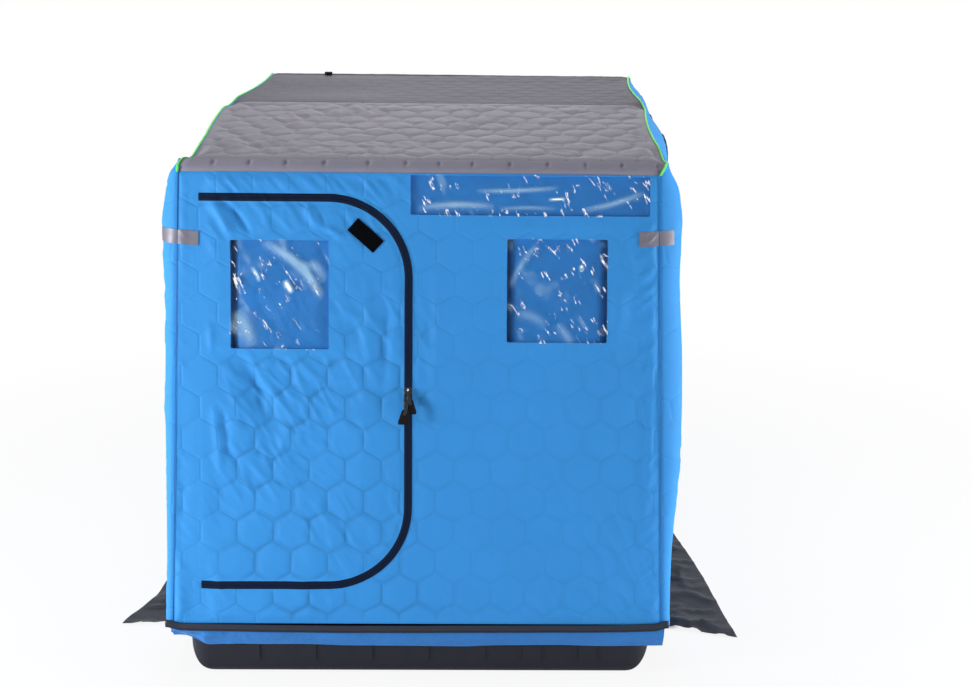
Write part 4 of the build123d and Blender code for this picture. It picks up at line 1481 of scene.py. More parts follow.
# --------------------------------------------------------------------------- rear wall and door
@dataclass
class RearWall:
    """The quilted rear wall, the door that is part of it, and what is sewn to them."""

    form: HutForm
    hinge: float = -0.694
    edge: float = -0.032
    door_low: float = 0.335
    door_high: float = 1.547
    door_corner: float = 0.250
    gap: float = 2.5 * MM
    tape: float = 12.5 * MM
    zip_start: float = 11 * MM
    bend: Pair = (-0.004, 0.020)
    windows: Pair = (-0.434, 0.432)
    strip: tuple[float, float, float] = (-0.030, 0.723, 1.494)
    rise: Pair = (-0.008, 0.009)
    longer: float = 0.016
    wider: float = 0.008
    pucker: float = 4.6 * MM
    tuck_at: Pair = (0.035, 0.045)
    pull_at: Pair = (0.030, 0.040)
    crumple: float = 4.4 * MM
    crumple_size: float = 0.034
    crumple_slant: float = 0.85
    crumpled: tuple[tuple[float, Pair, Pair], ...] = (
        (1.0, (-0.43, 0.20), (0.72, 0.36)), (0.9, (-0.50, 0.24), (1.28, 0.12)),
    )
    pillow: float = 3 * MM
    pillow_reach: float = 0.15
    calm: Pair = (15 * MM, 75 * MM)
    zip_fade: Pair = (6 * MM, 26 * MM)
    zip_plain: Pair = (10 * MM, 34 * MM)
    pane_fade: Pair = (-5 * MM, 40 * MM)
    pane_plain: Pair = (-12 * MM, 16 * MM)
    stitched: Pair = (21 * MM, 3 * MM)
    slider_height: float = 0.934
    tab_at: Pair = (-0.166, 1.432)
    tab_size: Pair = (0.106, 0.050)
    tab_turn: float = -42.0
    step: float = 6 * MM
    relief: Relief = Relief(seed=11, crease=4.2 * MM, ripple=2.4 * MM, folds=(
        Fold((-0.655, 1.345), (-0.575, 1.195), 0.013, 11.2 * MM, 0.012),
        Fold((-0.625, 1.350), (-0.520, 1.225), 0.011, -9.6 * MM, 0.010),
        Fold((-0.350, 1.330), (-0.290, 1.250), 0.012, 11.2 * MM, -0.010),
        Fold((-0.300, 1.255), (-0.235, 1.225), 0.010, 9.6 * MM, 0.004),
        Fold((-0.600, 0.880), (-0.445, 0.560), 0.030, -14.4 * MM, 0.020),
        Fold((-0.645, 0.700), (-0.622, 0.480), 0.014, 6 * MM, 0.004),
        Fold((-0.612, 0.690), (-0.594, 0.500), 0.014, -5 * MM, -0.003),
        Fold((-0.655, 0.960), (-0.650, 0.860), 0.011, 8 * MM, 0.003),
        Fold((-0.170, 1.120), (-0.150, 0.780), 0.022, 8 * MM, 0.006),
        Fold((-0.100, 1.060), (-0.115, 0.700), 0.018, -5 * MM, 0.004),
        Fold((0.060, 1.130), (0.045, 0.620), 0.022, 8 * MM, 0.006),
        Fold((0.640, 1.080), (0.600, 0.900), 0.030, 11.2 * MM, 0.004),
        Fold((0.735, 0.980), (0.715, 0.300), 0.014, 8 * MM, 0.006),
    ))

    def __post_init__(self) -> None:
        """Works out the door's shape and the windows."""
        up = self.form.up_wall
        self.door = DoorShape(self.hinge, self.edge, up(self.door_low), up(self.door_high), self.door_corner)
        low, high = up(self.strip[2]), self.form.seam - 0.002
        centre = ((self.strip[0] + self.strip[1]) / 2, (low + high) / 2)
        level = up(WINDOW_HEIGHT)
        wide, tall = WINDOW_SIZE
        self.left_pane = Box2((self.windows[0], level + self.rise[0]), (wide, tall + self.longer))
        self.right_pane = Box2((self.windows[1], level + self.rise[1]), (wide + self.wider, tall))
        self.strip_pane = Box2(centre, (self.strip[1] - self.strip[0], high - low))

    def to_zipper(self, points: Array) -> Array:
        """Distance to the door's zipper line, which ends at the hinge."""
        line = self.door.grown(0, self.hinge - 0.5)
        return np.hypot(line.distance(points), np.maximum(self.hinge - points[:, 0], 0))

    def to_seam(self, points: Array) -> Array:
        """Distance in from the wall's sewn edges."""
        return self.form.to_seam(points, 0.0, self.form.seam)

    def to_pane(self, points: Array) -> Array:
        """Distance to the nearest window pane, negative on it."""
        panes = (self.left_pane, self.right_pane, self.strip_pane)
        return np.minimum.reduce([pane.distance(points) for pane in panes])

    def level(self, points: Array) -> Array:
        """Height of the cloth with the quilt left out, for what is sewn on top.

        The wall is pillowed: it stands out by a smooth step of the distance in from its side
        edges. On that lie the slack, tucks that slant away from its seams, and small creases,
        all of which die away beside the hinge, so that the door swings clear.
        """
        x, s = points[:, 0], points[:, 1]
        beside, below = self.form.rim(x, s), self.form.seam - s
        near = smooth(self.to_pane(points), *self.pane_fade)
        slack = self.relief.loose(x, s) * (0.35 + 0.65 * near) * (1 - 0.35 * smooth(x, -0.05, 0.2))
        by_zipper = smooth(self.to_zipper(points), *self.zip_fade)
        tucks = ridged(x - 0.9 * below, 0.15 * below, 0.036, 17) * peak(below, self.tuck_at)
        pulls = ridged(s + 0.8 * beside, 0.15 * beside, 0.05, 19) * peak(beside, self.pull_at)
        tucks = self.pucker * (tucks + pulls) * near * by_zipper
        spot = sum(share * peak(x, across) * peak(s, along) for share, across, along in self.crumpled)
        fine = creased(x, s, self.crumple_size, 23, self.crumple_slant) - 0.4
        fine = self.crumple * spot * near * fine * by_zipper
        pillow = self.pillow * smooth(beside, 0.0, self.pillow_reach)
        calm = 0.15 + 0.85 * smooth(np.abs(x - self.hinge), *self.calm)
        loose = calm * (slack + tucks + fine)
        return smooth(self.to_seam(points), 0.0, RIM_FADE) * loose + pillow * smooth(s, 0.0, 0.05)

    def quilted(self, points: Array) -> Array:
        """How clearly the quilt shows, from 0 to 1: most below the door's window, less on the right."""
        x, s = points[:, 0], points[:, 1]
        plain = smooth(self.to_zipper(points), *self.zip_plain)
        plain = plain * smooth(self.to_pane(points), *self.pane_plain)
        seen = (0.32 + 0.68 * smooth(-s, -1.0, -0.75)) * (1 - 0.78 * smooth(x, -0.1, 0.15))
        seen = seen * (0.20 + 0.80 * smooth(x, -0.68, -0.48)) * (0.8 + 0.4 * noise(x, s, 0.16, 29))
        return plain * seen * smooth(self.to_seam(points), 0.0, RIM_FADE)

    def height(self, points: Array) -> Array:
        """The cloth's relief: its level, the quilt, a stitched line by the zipper and the seams."""
        stitched = -1.6 * MM * peak(self.to_zipper(points), self.stitched)
        quilt = self.relief.quilt(*points.T) * self.quilted(points)
        return self.level(points) + quilt + stitched + sunk(self.to_seam(points))

    def groove_shade(self, piece: Piece) -> None:
        """Stores painted shade along a piece's quilt grooves, which its finish darkens."""
        plan = plan_of(piece)
        store(piece, "groove_shade", self.relief.groove_shading(*plan.T) * self.quilted(plan))

    def surface(self, points: Array, h: Array | float = 0.0) -> Array:
        """Places on the cloth, h above it."""
        return self.form.over(points, self.height(points) + h)

    def on_cloth(self, points: Array, h: Array | float) -> Array:
        """Places h above the cloth's level."""
        return self.form.over(points, self.level(points) + h)

    def build(self) -> None:
        """Makes the wall, the door leaf, the fold between them and all that is sewn on."""
        self.build_cloth()
        self.build_windows()
        self.build_zipper()
        self.build_sliders()
        self.build_tab()

    def build_cloth(self) -> None:
        """Makes the wall round the door, the leaf, and the cloth that folds at the hinge."""
        form, gap = self.form, self.gap
        stock = form.lined(Palette.BLUE, "blue_quilt")
        fixed, turned = (self.hinge + bend for bend in self.bend)
        holes = [pane.grown(-HOLE_LAP) for pane in (self.right_pane, self.strip_pane)]
        holes.append(self.door.grown(gap, fixed))
        wall = cut_pattern(form.grid(0.0, form.seam, self.step), holes)
        self.groove_shade(sew("rear_wall_quilt", wall, self.surface, stock,
                        ["rear_wall_left", "rear_wall_over_door", "rear_wall_right", "rear_wall_under_door"]))
        low, high = self.door.low + gap, self.door.high - gap
        axes = [np.linspace(turned, self.edge, int((self.edge - turned) / self.step) + 1),
                np.linspace(low, high, int((high - low) / self.step) + 1)]
        shape, hole = self.door.grown(-gap, turned), self.left_pane.grown(-HOLE_LAP)
        leaf = cut_pattern(lattice(*axes), [hole], [shape])
        self.groove_shade(sew("door_leaf_quilt", leaf, self.surface, stock,
                        ["door_panel"], "door"))
        ends = (self.door.low - 0.9 * gap, self.door.high + 0.9 * gap)
        across = np.linspace(fixed - 2 * MM, turned + 2 * MM, 7)
        self.build_hinge(Pattern.whole(lattice(across, np.linspace(*ends, len(axes[1])))), stock)

    def build_hinge(self, pattern: Pattern, stock: Stock) -> None:
        """Makes the strip of cloth at the hinge, between the wall and the door leaf."""
        places = self.surface(pattern.points, -0.2 * MM)
        fold = make_mesh("door_hinge_fold", places, pattern.faces, pattern.points)
        fold.data.materials.append(stock.finish.material())
        thicken(fold, stock.thickness, stock.inner)
        middle = self.form.over(np.array([[self.hinge, 0.7]]), np.zeros(1))[0]
        ends = [middle + np.array([b, 0, 0]) for b in self.bend]
        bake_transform(fold)
        pattern.extent
        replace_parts(fold, "door_hinge_cord")
        log.info("door_hinge_fold bends between shell and door")

    def build_windows(self) -> None:
        """Makes the three windows."""
        # Painted reflection streaks for each pane; a height above 1 also paints a highlight spot.
        left = (
            Fold((-0.050, 0.165), (0.135, -0.010), 0.013, 1.0, 0.022),
            Fold((-0.125, -0.045), (-0.085, -0.165), 0.020, 0.7, 0.0),
            Fold((0.100, 0.110), (0.140, 0.040), 0.012, 0.5, 0.006),
            Fold((0.015, 0.045), (0.040, 0.005), 0.007, 2.2, 0.0),
            Fold((-0.085, 0.085), (-0.060, 0.040), 0.004, 1.7, 0.002),
        )
        right = (
            Fold((-0.060, 0.150), (-0.145, 0.010), 0.008, 0.5, -0.010),
            Fold((-0.130, -0.070), (-0.030, -0.110), 0.014, 0.4, 0.010),
            Fold((0.000, -0.100), (0.050, -0.165), 0.012, 0.5, 0.0),
            Fold((0.075, 0.085), (0.077, 0.060), 0.005, 2.2, 0.0),
        )
        strip = (
            Fold((-0.350, -0.040), (-0.110, -0.035), 0.009, 0.8, 0.008),
            Fold((-0.170, 0.014), (0.090, 0.026), 0.006, 0.8, -0.004),
            Fold((0.160, -0.045), (0.355, 0.012), 0.008, 0.7, -0.006),
            Fold((0.055, -0.012), (0.110, -0.008), 0.0035, 2.0, 0.0),
            Fold((-0.100, -0.042), (0.080, -0.040), 0.005, 0.6, 0.004),
        )
        Glazing("leaf_window", self.left_pane, self.on_cloth, ("door_window_pane", "door_window_cover"),
                "door_leaf_quilt", "door", seed=21, deep=5 * MM, streaks=left,
                gloom=(26 * MM, 0)).build()
        Glazing("rear_window", self.right_pane, self.on_cloth, ("rear_window_panes", "rear_window_covers"),
                "rear_wall_quilt", seed=33, streaks=right, gloom=(26 * MM, 16 * MM)).build()
        Glazing("eaves_window", self.strip_pane, self.on_cloth, (), "rear_wall_quilt", seed=47,
                streaks=strip).build()

    def build_zipper(self) -> None:
        """Makes the two halves of the door's zipper and the placket behind them."""
        line, ways = self.door.grown(0, self.hinge + self.zip_start).path(5 * MM)
        base = 0.4 * MM * noise(line[:, 0], line[:, 1], 0.05, 3)
        for half, reach, body, node in (("wall", self.tape, "shell", "door_zipper_wall_side"),
                                        ("leaf", -self.tape, "door", "door_zipper_door_side")):
            section = zip_section(ZIP_SLIT, reach, 3.4)
            made = band(f"door_zipper_{half}_half", line, ways, section, self.on_cloth, base)
            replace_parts(dress(made, Palette.ZIPPER, body), node)
        line, ways = self.door.path(8 * MM)
        section = np.array([(-30, -16), (30, -16), (30, -8.5), (6, -8.5), (6, -13), (-30, -13)]) * MM
        made = band("door_placket_band", line, ways, section, self.on_cloth, 0 * line[:, 0])
        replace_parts(dress(made, Palette.LINER), "door_placket")

    def build_sliders(self) -> None:
        """Makes two sliders that meet beside the door, each with its pull hanging down."""
        at = np.array([[self.edge, self.form.up_wall(self.slider_height)]])
        base = self.level(at)
        origin = self.form.over(at, base)[0]
        up = self.form.over(at + [[0, 1.0]], base)[0] - origin
        up /= np.linalg.norm(up)
        axes = np.stack([[1.0, 0, 0], up, np.cross([1.0, 0, 0], up)])
        for name, way in (("upper", 1), ("lower", -1)):
            Slider(f"zipper_slider_{name}", origin, axes, way).build()
        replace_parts(bpy.data.objects["zipper_slider_upper_body"], "door_zipper_sliders")

    def build_tab(self) -> None:
        """Makes the slanted patch of loop tape near the door's upper corner."""
        c, s = math.cos(math.radians(self.tab_turn)), math.sin(math.radians(self.tab_turn))
        wide, tall = self.tab_size
        pattern = Pattern.whole(lattice(np.linspace(-wide / 2, wide / 2, 23),
                                        np.linspace(-tall / 2, tall / 2, 11)))
        u, v = pattern.points.T
        up = self.form.up_wall(self.tab_at[1])
        points = np.stack([self.tab_at[0] + u * c - v * s, up + u * s + v * c], -1)
        edge = Box2((0, 0), self.tab_size, 3 * MM).distance(pattern.points)
        high = self.level(points) + 3.4 * MM + 0.8 * MM * noise(u, v, 0.03, 9)
        high -= 1.1 * MM * bell(edge + 4 * MM, 1.6 * MM)
        places = self.form.over(points, high)
        piece = make_mesh("door_strap_loop_tape", places, pattern.faces, pattern.points)
        dress(piece, Palette.LOOP, "door")
        thicken(piece, 2.6 * MM)
        bevelled(piece, 0.8 * MM)
        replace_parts(piece, "door_strap_tab")


@dataclass
class Slider:
    """A zipper slider with a wedge body, a bridge and a flat pull that ends in a cloth grip."""

    name: str
    origin: Array
    axes: Array
    way: int
    length: float = 34 * MM
    width: float = 33 * MM
    thickness: float = 8 * MM
    stand: float = 4.5 * MM
    foot: float = 1 * MM
    pull: float = 50 * MM
    lean: float = 0.16
    lift: float = 1.6 * MM

    def __post_init__(self) -> None:
        """Works out where the bridge stands; the lower slider's pull lies over the upper one's."""
        self.start = self.way * self.foot
        self.middle = self.start + self.way * self.length * 0.45
        self.top = self.stand + self.thickness
        self.pull_base = self.top + (0.0 if self.way > 0 else self.lift)

    @staticmethod
    def squared(count: int, power: float) -> Array:
        """Points round a circle that is pushed towards a square."""
        ring = circle(1.0, count)
        return np.sign(ring) * np.abs(ring) ** power

    @staticmethod
    def rings(section: Array, middle: tuple[Array | float, ...], wide: Array, thick: Array | float) -> Array:
        """Rings of one section about points of a line.

        Args:
            section: M by 2 points, across and out, from -1 to 1.
            middle: the rings' middles across, up and out, N values or one.
            wide: N half widths.
            thick: N half thicknesses, or one.

        Returns:
            N by M by 3 points across, up and out.
        """
        centre = np.stack(np.broadcast_arrays(*middle, wide)[:3], -1)
        half = np.stack(np.broadcast_arrays(wide, 0.0, thick), -1)
        return centre[:, None] + section[None][..., [0, 0, 1]] * half[:, None]

    def add(self, part: str, rings: Array, finish: Finish, slot: str = "slider_metal") -> None:
        """Lofts rings of points across, up and out into a piece that rides on the door."""
        dress(loft(f"{self.name}_{part}", self.origin + rings @ self.axes), finish, "door")

    def build(self) -> None:
        """Makes the body and the bridge over it, then the pull."""
        share = np.linspace(0, 1, 9)
        size = np.sin(np.pi * np.clip(share, 0.06, 0.94)) ** 0.35
        middle = (0.0, self.start + self.way * self.length * share, self.stand + self.thickness / 2)
        wide = self.width / 2 * size * (1 - 0.35 * share)
        body = self.rings(self.squared(24, 0.55), middle, wide, self.thickness / 2 * size)
        self.add("body", body, Palette.ENAMEL)
        turn = np.linspace(0, np.pi, 13)
        inward = np.stack([0 * turn, -np.cos(turn), -np.sin(turn)], 1)
        path = np.array([0, self.middle, self.top - 0.5 * MM]) - inward * np.array([0, 7, 4.5]) * MM
        oval = circle(1.0, 10) * np.array([2.6, 0.9]) * MM
        bridge = path[:, None] + oval[None, :, :1] * [1.0, 0, 0] + oval[None, :, 1:] * inward[:, None]
        self.add("bridge", bridge, Palette.NICKEL)
        self.build_pull()

    def build_pull(self) -> None:
        """Makes the flat metal pull, bent a little away from the wall, and its cloth grip."""
        slant = self.lean * self.way * self.pull
        oval = self.squared(16, 0.6)
        t = np.linspace(0, 1, 15)
        wide = np.interp(t, [0, 0.08, 0.3, 0.8, 0.94, 1], [2.2, 3.2, 4.6, 5.6, 4.6, 2.0]) * MM
        high = self.pull_base + 3.2 * MM + 1.2 * MM * np.sin(t * np.pi)
        middle = (slant * t, self.middle + 2 * MM - self.pull * t, high)
        self.add("pull", self.rings(oval, middle, wide, 0.9 * MM), Palette.ENAMEL)
        t = np.linspace(0, 1, 12)
        wide = np.interp(t, [0, 0.1, 0.85, 1], [7.0, 12.0, 18.0, 15.0]) * MM
        middle = (slant * (0.55 + 0.9 * t), self.middle - self.pull * (0.55 + 0.95 * t),
                  self.pull_base + 3.0 * MM - 2.0 * MM * t)
        self.add("grip", self.rings(oval, middle, wide, 1.7 * MM), Palette.WEBBING, "black_webbing")


# --------------------------------------------------------------------------- side walls
@dataclass
class SideWall:
    """A side wall with its two rounded corners, a window, a closed side door and piping."""

    form: HutForm
    side: int
    window_depth: float = 1.000
    door: tuple[float, float, float] = (0.620, 1.380, 0.290)
    door_below: float = 0.062
    door_corner: float = 0.200
    zip_fade: Pair = (20 * MM, 50 * MM)
    corner_fade: Pair = (0.05, 0.12)
    tape: float = 14 * MM
    step: float = 15 * MM

    def __post_init__(self) -> None:
        """Chooses the wall's relief and places the window."""
        self.name = side_name(self.side)
        self.relief = Relief(seed=60 + self.side, sway=4 * MM, ripple=1.8 * MM, crease=4.5 * MM)
        shift = self.form.arc - self.form.corner_radius
        self.pane = Box2((self.window_depth + shift, WINDOW_HEIGHT), WINDOW_SIZE)
        near, far, foot = self.door
        ridge = self.form.ridge
        slope = (ridge[1] - self.form.eaves[1]) / (ridge[0] - self.form.eaves[0])
        far_top = ridge[1] - self.door_below + slope * (far - ridge[0])
        near_top = far_top - slope * (far - near)
        middle = (foot + near_top) / 2
        corners = np.array([(near, middle), (near, near_top), (far, far_top), (far, foot),
                            (near, foot), (near, middle)]) + np.array([shift, 0])
        points, ways, _ = rounded(corners, [self.door_corner] * 4, 30)
        self.door_line = evenly(points, ways, 10 * MM)

    def girth(self, points: Array) -> Array:
        """Distance round from the rear corner seam."""
        return points[:, 0] - self.form.rear_line(points[:, 1])

    def ends(self, points: Array) -> Array:
        """Distance in from the nearer upright corner seam."""
        girth = self.girth(points)
        total = self.form.side_length(points[:, 1]) + 2 * self.form.arc
        return np.minimum(girth, total - girth)

    def rim(self, points: Array) -> Array:
        """Distance in from the corner seams and the roof's edge."""
        form = self.form
        top = form.roof_height(points[:, 0] + form.corner_radius - form.arc) - points[:, 1]
        return np.minimum(self.ends(points), top.clip(0))

    def level(self, points: Array) -> Array:
        """Height of the cloth with the quilt left out, for what is sewn on top."""
        near = 0.3 + 0.7 * smooth(self.pane.distance(points), 0, WIDE_FADE)
        return self.relief.loose(*points.T) * near * smooth(self.rim(points), 0.0, WIDE_FADE)

    def height(self, points: Array) -> Array:
        """The cloth's relief: its level, the quilt and the corner seams."""
        line = self.door_line[0]
        to_zip = np.min(np.linalg.norm(points[:, None] - line[None, ::4], axis=2), axis=1)
        plain = smooth(self.pane.distance(points), *PANE_FADE) * smooth(to_zip, *self.zip_fade)
        plain = plain * smooth(self.girth(points), *self.corner_fade)
        plain = plain * smooth(self.rim(points), 0.0, WIDE_FADE)
        return self.level(points) + self.relief.quilt(*points.T) * plain + sunk(self.ends(points))

    def over(self, points: Array, h: Array | float) -> Array:
        """Places at a height over the side wall's form."""
        return self.form.side_place(self.girth(points), points[:, 1], self.side, h)

    def surface(self, points: Array) -> Array:
        """Places on the cloth."""
        return self.over(points, self.height(points))

    def on_cloth(self, points: Array, h: Array | float) -> Array:
        """Places h above the cloth's level."""
        return self.over(points, self.level(points) + h)

    def build(self) -> None:
        """Makes the wall, its window, its zipper, its piping, and a dark strip of painted shade along its
        corner seam.
        """
        pattern = cut_pattern(self.form.side_grid(self.step), [self.pane.grown(-HOLE_LAP)])
        wall, turned = f"side_wall_{self.name}", self.side < 0
        sew(f"{wall}_quilt", pattern, self.surface, self.form.lined(Palette.BLUE, "blue_quilt"),
            [wall], flip=turned)
        nodes = () if turned else ("side_window_panes", "side_window_covers")
        Glazing(f"side_{self.name}_window", self.pane, self.on_cloth, nodes, f"{wall}_quilt",
                seed=71 + self.side, step=8 * MM, flip=turned).build()
        line, ways = self.door_line
        right, left = (zip_section(ZIP_SLIT, reach, 4.2) for reach in (self.tape, -self.tape))
        section = np.concatenate([left[::-1][:-1], right[1:]])
        made = band(f"side_{self.name}_door_zipper", line, ways, section, self.on_cloth, 0 * line[:, 0])
        dress(made, Palette.ZIPPER)
        if self.side > 0:
            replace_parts(made, "side_door_zippers")
        self.build_piping()
        self.build_corner_seam()

    def build_corner_seam(self) -> None:
        """Makes a thin dark cloth strip along the upright seam between the rear and side walls: painted shade
        for the shadow in the seam's crease.
        """
        form = self.form
        height = np.linspace(form.base_height, form.eaves[1] - 0.03, 200)
        girth = np.full_like(height, -2.0 * MM)
        rise = 1.2 * MM + 0.5 * MM * noise(height, 0 * height, 0.12, 95 + self.side)
        path = form.side_place(girth, height, self.side, rise)
        out = np.array([0, -math.cos(form.lean), math.sin(form.lean)])
        wide = 1.6 * MM * (0.7 + 0.3 * noise(height, 0 * height, 0.2, 97 + self.side))
        section = circle(1.0, 8)[None] * np.stack([wide, 0 * wide + 1.0 * MM], 1)[:, None]
        made = sweep(f"corner_seam_shade_{self.name}", path, np.array([1.0, 0, 0]), out, section)
        dress(made, Palette.SEAM_SHADE)

    def build_piping(self) -> None:
        """Makes the piping along the roof's edge, with a thicker knot where it starts."""
        form = self.form
        s = np.linspace(form.seam - 2 * MM, form.brow_end + 10 * MM, 260)
        _, normal = form.on_line(s)
        x = form.edge(s, self.side) + 0.8 * MM * noise(s, 0 * s, 0.06, 90 + self.side)
        path = form.place(self.side * x, s)
        out = np.stack([0 * s, normal[:, 0], normal[:, 1]], 1)
        across = np.array([self.side * 1.0, 0, 0])
        radius = 3.0 * MM + 1.2 * MM * bell(s - s[0], 0.035) + 0.3 * MM * noise(s, s, 0.02, 4)
        path = path + (out + across) * 2.0 * MM
        section = circle(1.0, 10)[None] * radius[:, None, None]
        made = sweep(f"roof_piping_{self.name}_cord", path, across, out, section)
        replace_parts(dress(made, Palette.LIME), f"roof_piping_{self.name}")


# --------------------------------------------------------------------------- roof and front
@dataclass
class Roof:
    """Two roof panels, the sleeves that hold the rear and front hoops, and a webbing loop."""

    form: HutForm
    rear_step: float = 8 * MM
    front_step: float = 9 * MM
    sleeve_step: float = 6 * MM
    pitch: float = 0.116
    sag: float = 6 * MM
    seam: float = 1.4 * MM
    rim_fade: float = 45 * MM
    sleeve_puff: float = 6 * MM
    sleeve_dimple: float = 8 * MM

    def height(self, points: Array, relief: Relief, start: float, end: float) -> Array:
        """A roof panel's relief, flat at its sewn edges."""
        x, s = points[:, 0], points[:, 1]
        rim = self.form.to_seam(points, start, end)
        across = smooth(rim, 0.0, self.rim_fade)
        sag = -self.sag * np.sin(np.pi * np.clip((s - start) / (end - start), 0, 1)) * smooth(rim, 0, 0.3)
        seen = 1.0 if start < self.form.crest - 0.1 else 0.15 + 0.85 * smooth(x, -0.45, 0.0)
        return across * (relief.quilt(x, s) * seen + relief.loose(x, s)) + sag + sunk(rim, self.seam)

    def sleeve_height(self, points: Array, start: float, end: float) -> Array:
        """A sleeve's relief: the tube's line, with a dimple at each quilt seam."""
        x, s = points[:, 0], points[:, 1]
        share = np.clip((s - start) / (end - start), 0, 1)
        from_dimple = np.abs(((x / self.pitch + 0.2 * noise(x, 0 * x, 0.3, 16)) % 1) - 0.5) * self.pitch
        body = self.sleeve_puff * np.sin(np.pi * share) ** 0.7 + 3 * MM * peak(share, (0.84, 0.10))
        dimple = self.sleeve_dimple * bell(from_dimple, 6 * MM) * peak(share, (0.62, 0.18))
        loose = 1.6 * MM * (noise(x, s, 0.12, 14) + creased(x, s, 0.05, 15, -0.6) - 0.5)
        return (body - dimple + loose * np.sin(np.pi * share)) * smooth(self.form.rim(x, s), 0, RIM_FADE)

    def build(self) -> None:
        """Makes the panels, the sleeves and the loop."""
        form = self.form
        grey = form.lined(Palette.GREY, "grey_quilt")
        # painted shade: the front panel and front sleeve use a darker copy of the grey
        dark = form.lined(Palette.SHADED_GREY, "dark_grey_quilt")
        sleeve = form.lined(Palette.SLEEVE, "grey_quilt")
        at = form.sleeve_end
        folds = (Fold((-0.72, at + 0.05), (-0.40, at + 0.55), 0.02, 6 * MM, 0.03),
                 Fold((-0.75, at + 0.25), (-0.45, at + 0.80), 0.025, 7 * MM, -0.02))
        rear = Relief(seed=31, sway=5 * MM, ripple=6 * MM, ripple_size=0.09, puff=5.0 * MM,
                      crease=6 * MM, folds=folds)
        front = Relief(seed=37, sway=4 * MM, ripple=0.8 * MM, puff=1.8 * MM, crease=0.4 * MM)
        panels = (
            ("roof_rear_quilt", form.sleeve_top, form.crest, rear, grey, "roof_rear_panel", self.rear_step),
            ("roof_front_quilt", form.crest, form.brow_start, front, dark, "roof_front_panel",
             self.front_step),
        )
        for name, start, end, relief, stock, node, step in panels:
            pattern = Pattern.whole(form.grid(start, end, step))
            high = self.height(pattern.points, relief, start, end)
            made = sew(name, pattern, lambda p, h=high: form.over(p, h), stock,
                       [node])
            plan = plan_of(made)
            # painted shade along the quilt's grooves, stronger towards the right
            store(made, "groove_shade", relief.groove_shading(*plan.T) * (0.5 + 0.5 * smooth(plan[:, 0], -0.5, 0.1)))
        sleeves = (
            ("rear_sleeve_quilt", form.seam, form.sleeve_top, sleeve, "roof_rear_sleeve", ["rear_hoop"]),
            ("front_sleeve_quilt", form.brow_start, form.brow_end, dark, "roof_front_sleeve", ["front_hoop"]),
        )
        for name, start, end, stock, node, hoops in sleeves:
            pattern = Pattern.whole(form.grid(start, end, self.sleeve_step))
            high = self.sleeve_height(pattern.points, start, end)
            sew(name, pattern, lambda p, h=high: form.over(p, h), stock, [node])
        self.build_loop()

    def build_loop(self) -> None:
        """Makes the webbing loop: a flat strap bent into an oval that stands on the roof."""
        low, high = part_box("roof_webbing_tab")
        centre, size = (low + high) / 2, high - low
        t = np.linspace(0, 2 * np.pi, 33)
        path = np.stack([0 * t + centre.x + 10 * MM, centre.y + (size.y / 2 - 2 * MM) * np.cos(t),
                         centre.z + (size.z / 2 - 2 * MM) * np.sin(t)], 1)
        out = np.stack([0 * t, np.cos(t), np.sin(t)], 1)
        section = np.array([(-15, -0.9), (15, -0.9), (15.4, 0), (15, 0.9), (-15, 0.9), (-15.4, 0)]) * MM
        made = sweep("roof_webbing_loop", path, np.array([1.0, 0, 0]), out, section)
        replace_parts(dress(made, Palette.WEBBING), "roof_webbing_tab")


@dataclass
class FrontWall:
    """The quilted front wall with its two windows."""

    form: HutForm
    windows: Pair = (-0.42, 0.42)
    step: float = 15 * MM
    relief: Relief = Relief(seed=81, sway=4 * MM, ripple=1.8 * MM, crease=4.5 * MM)

    def build(self) -> None:
        """Makes the wall and its windows."""
        form = self.form
        level = form.end - (WINDOW_HEIGHT - form.foot[1]) / math.cos(form.front_lean)
        panes = [Box2((x, level), WINDOW_SIZE) for x in self.windows]
        holes = [pane.grown(-HOLE_LAP) for pane in panes]
        pattern = cut_pattern(form.grid(form.brow_end, form.end, self.step), holes)
        points = pattern.points
        rim = form.to_seam(points, form.brow_end, form.end)
        plain = smooth(np.minimum.reduce([p.distance(points) for p in panes]), *PANE_FADE)
        high = self.relief.quilt(*points.T) * plain + self.relief.loose(*points.T) * (0.3 + 0.7 * plain)
        high = high * smooth(rim, 0, WIDE_FADE) + sunk(rim)
        sew("front_wall_quilt", pattern, lambda p: form.over(p, high),
            form.lined(Palette.BLUE, "blue_quilt"), ["front_wall"])
        for k, (pane, side) in enumerate(zip(panes, (-1, 1))):
            nodes = ("front_window_panes", "front_window_covers") if k else ()
            Glazing(f"front_{side_name(side)}_window", pane,
                    lambda p, h: form.over(p, h + 0.3 * self.relief.loose(*p.T)),
                    nodes, "front_wall_quilt", seed=85 + k, step=8 * MM).build()


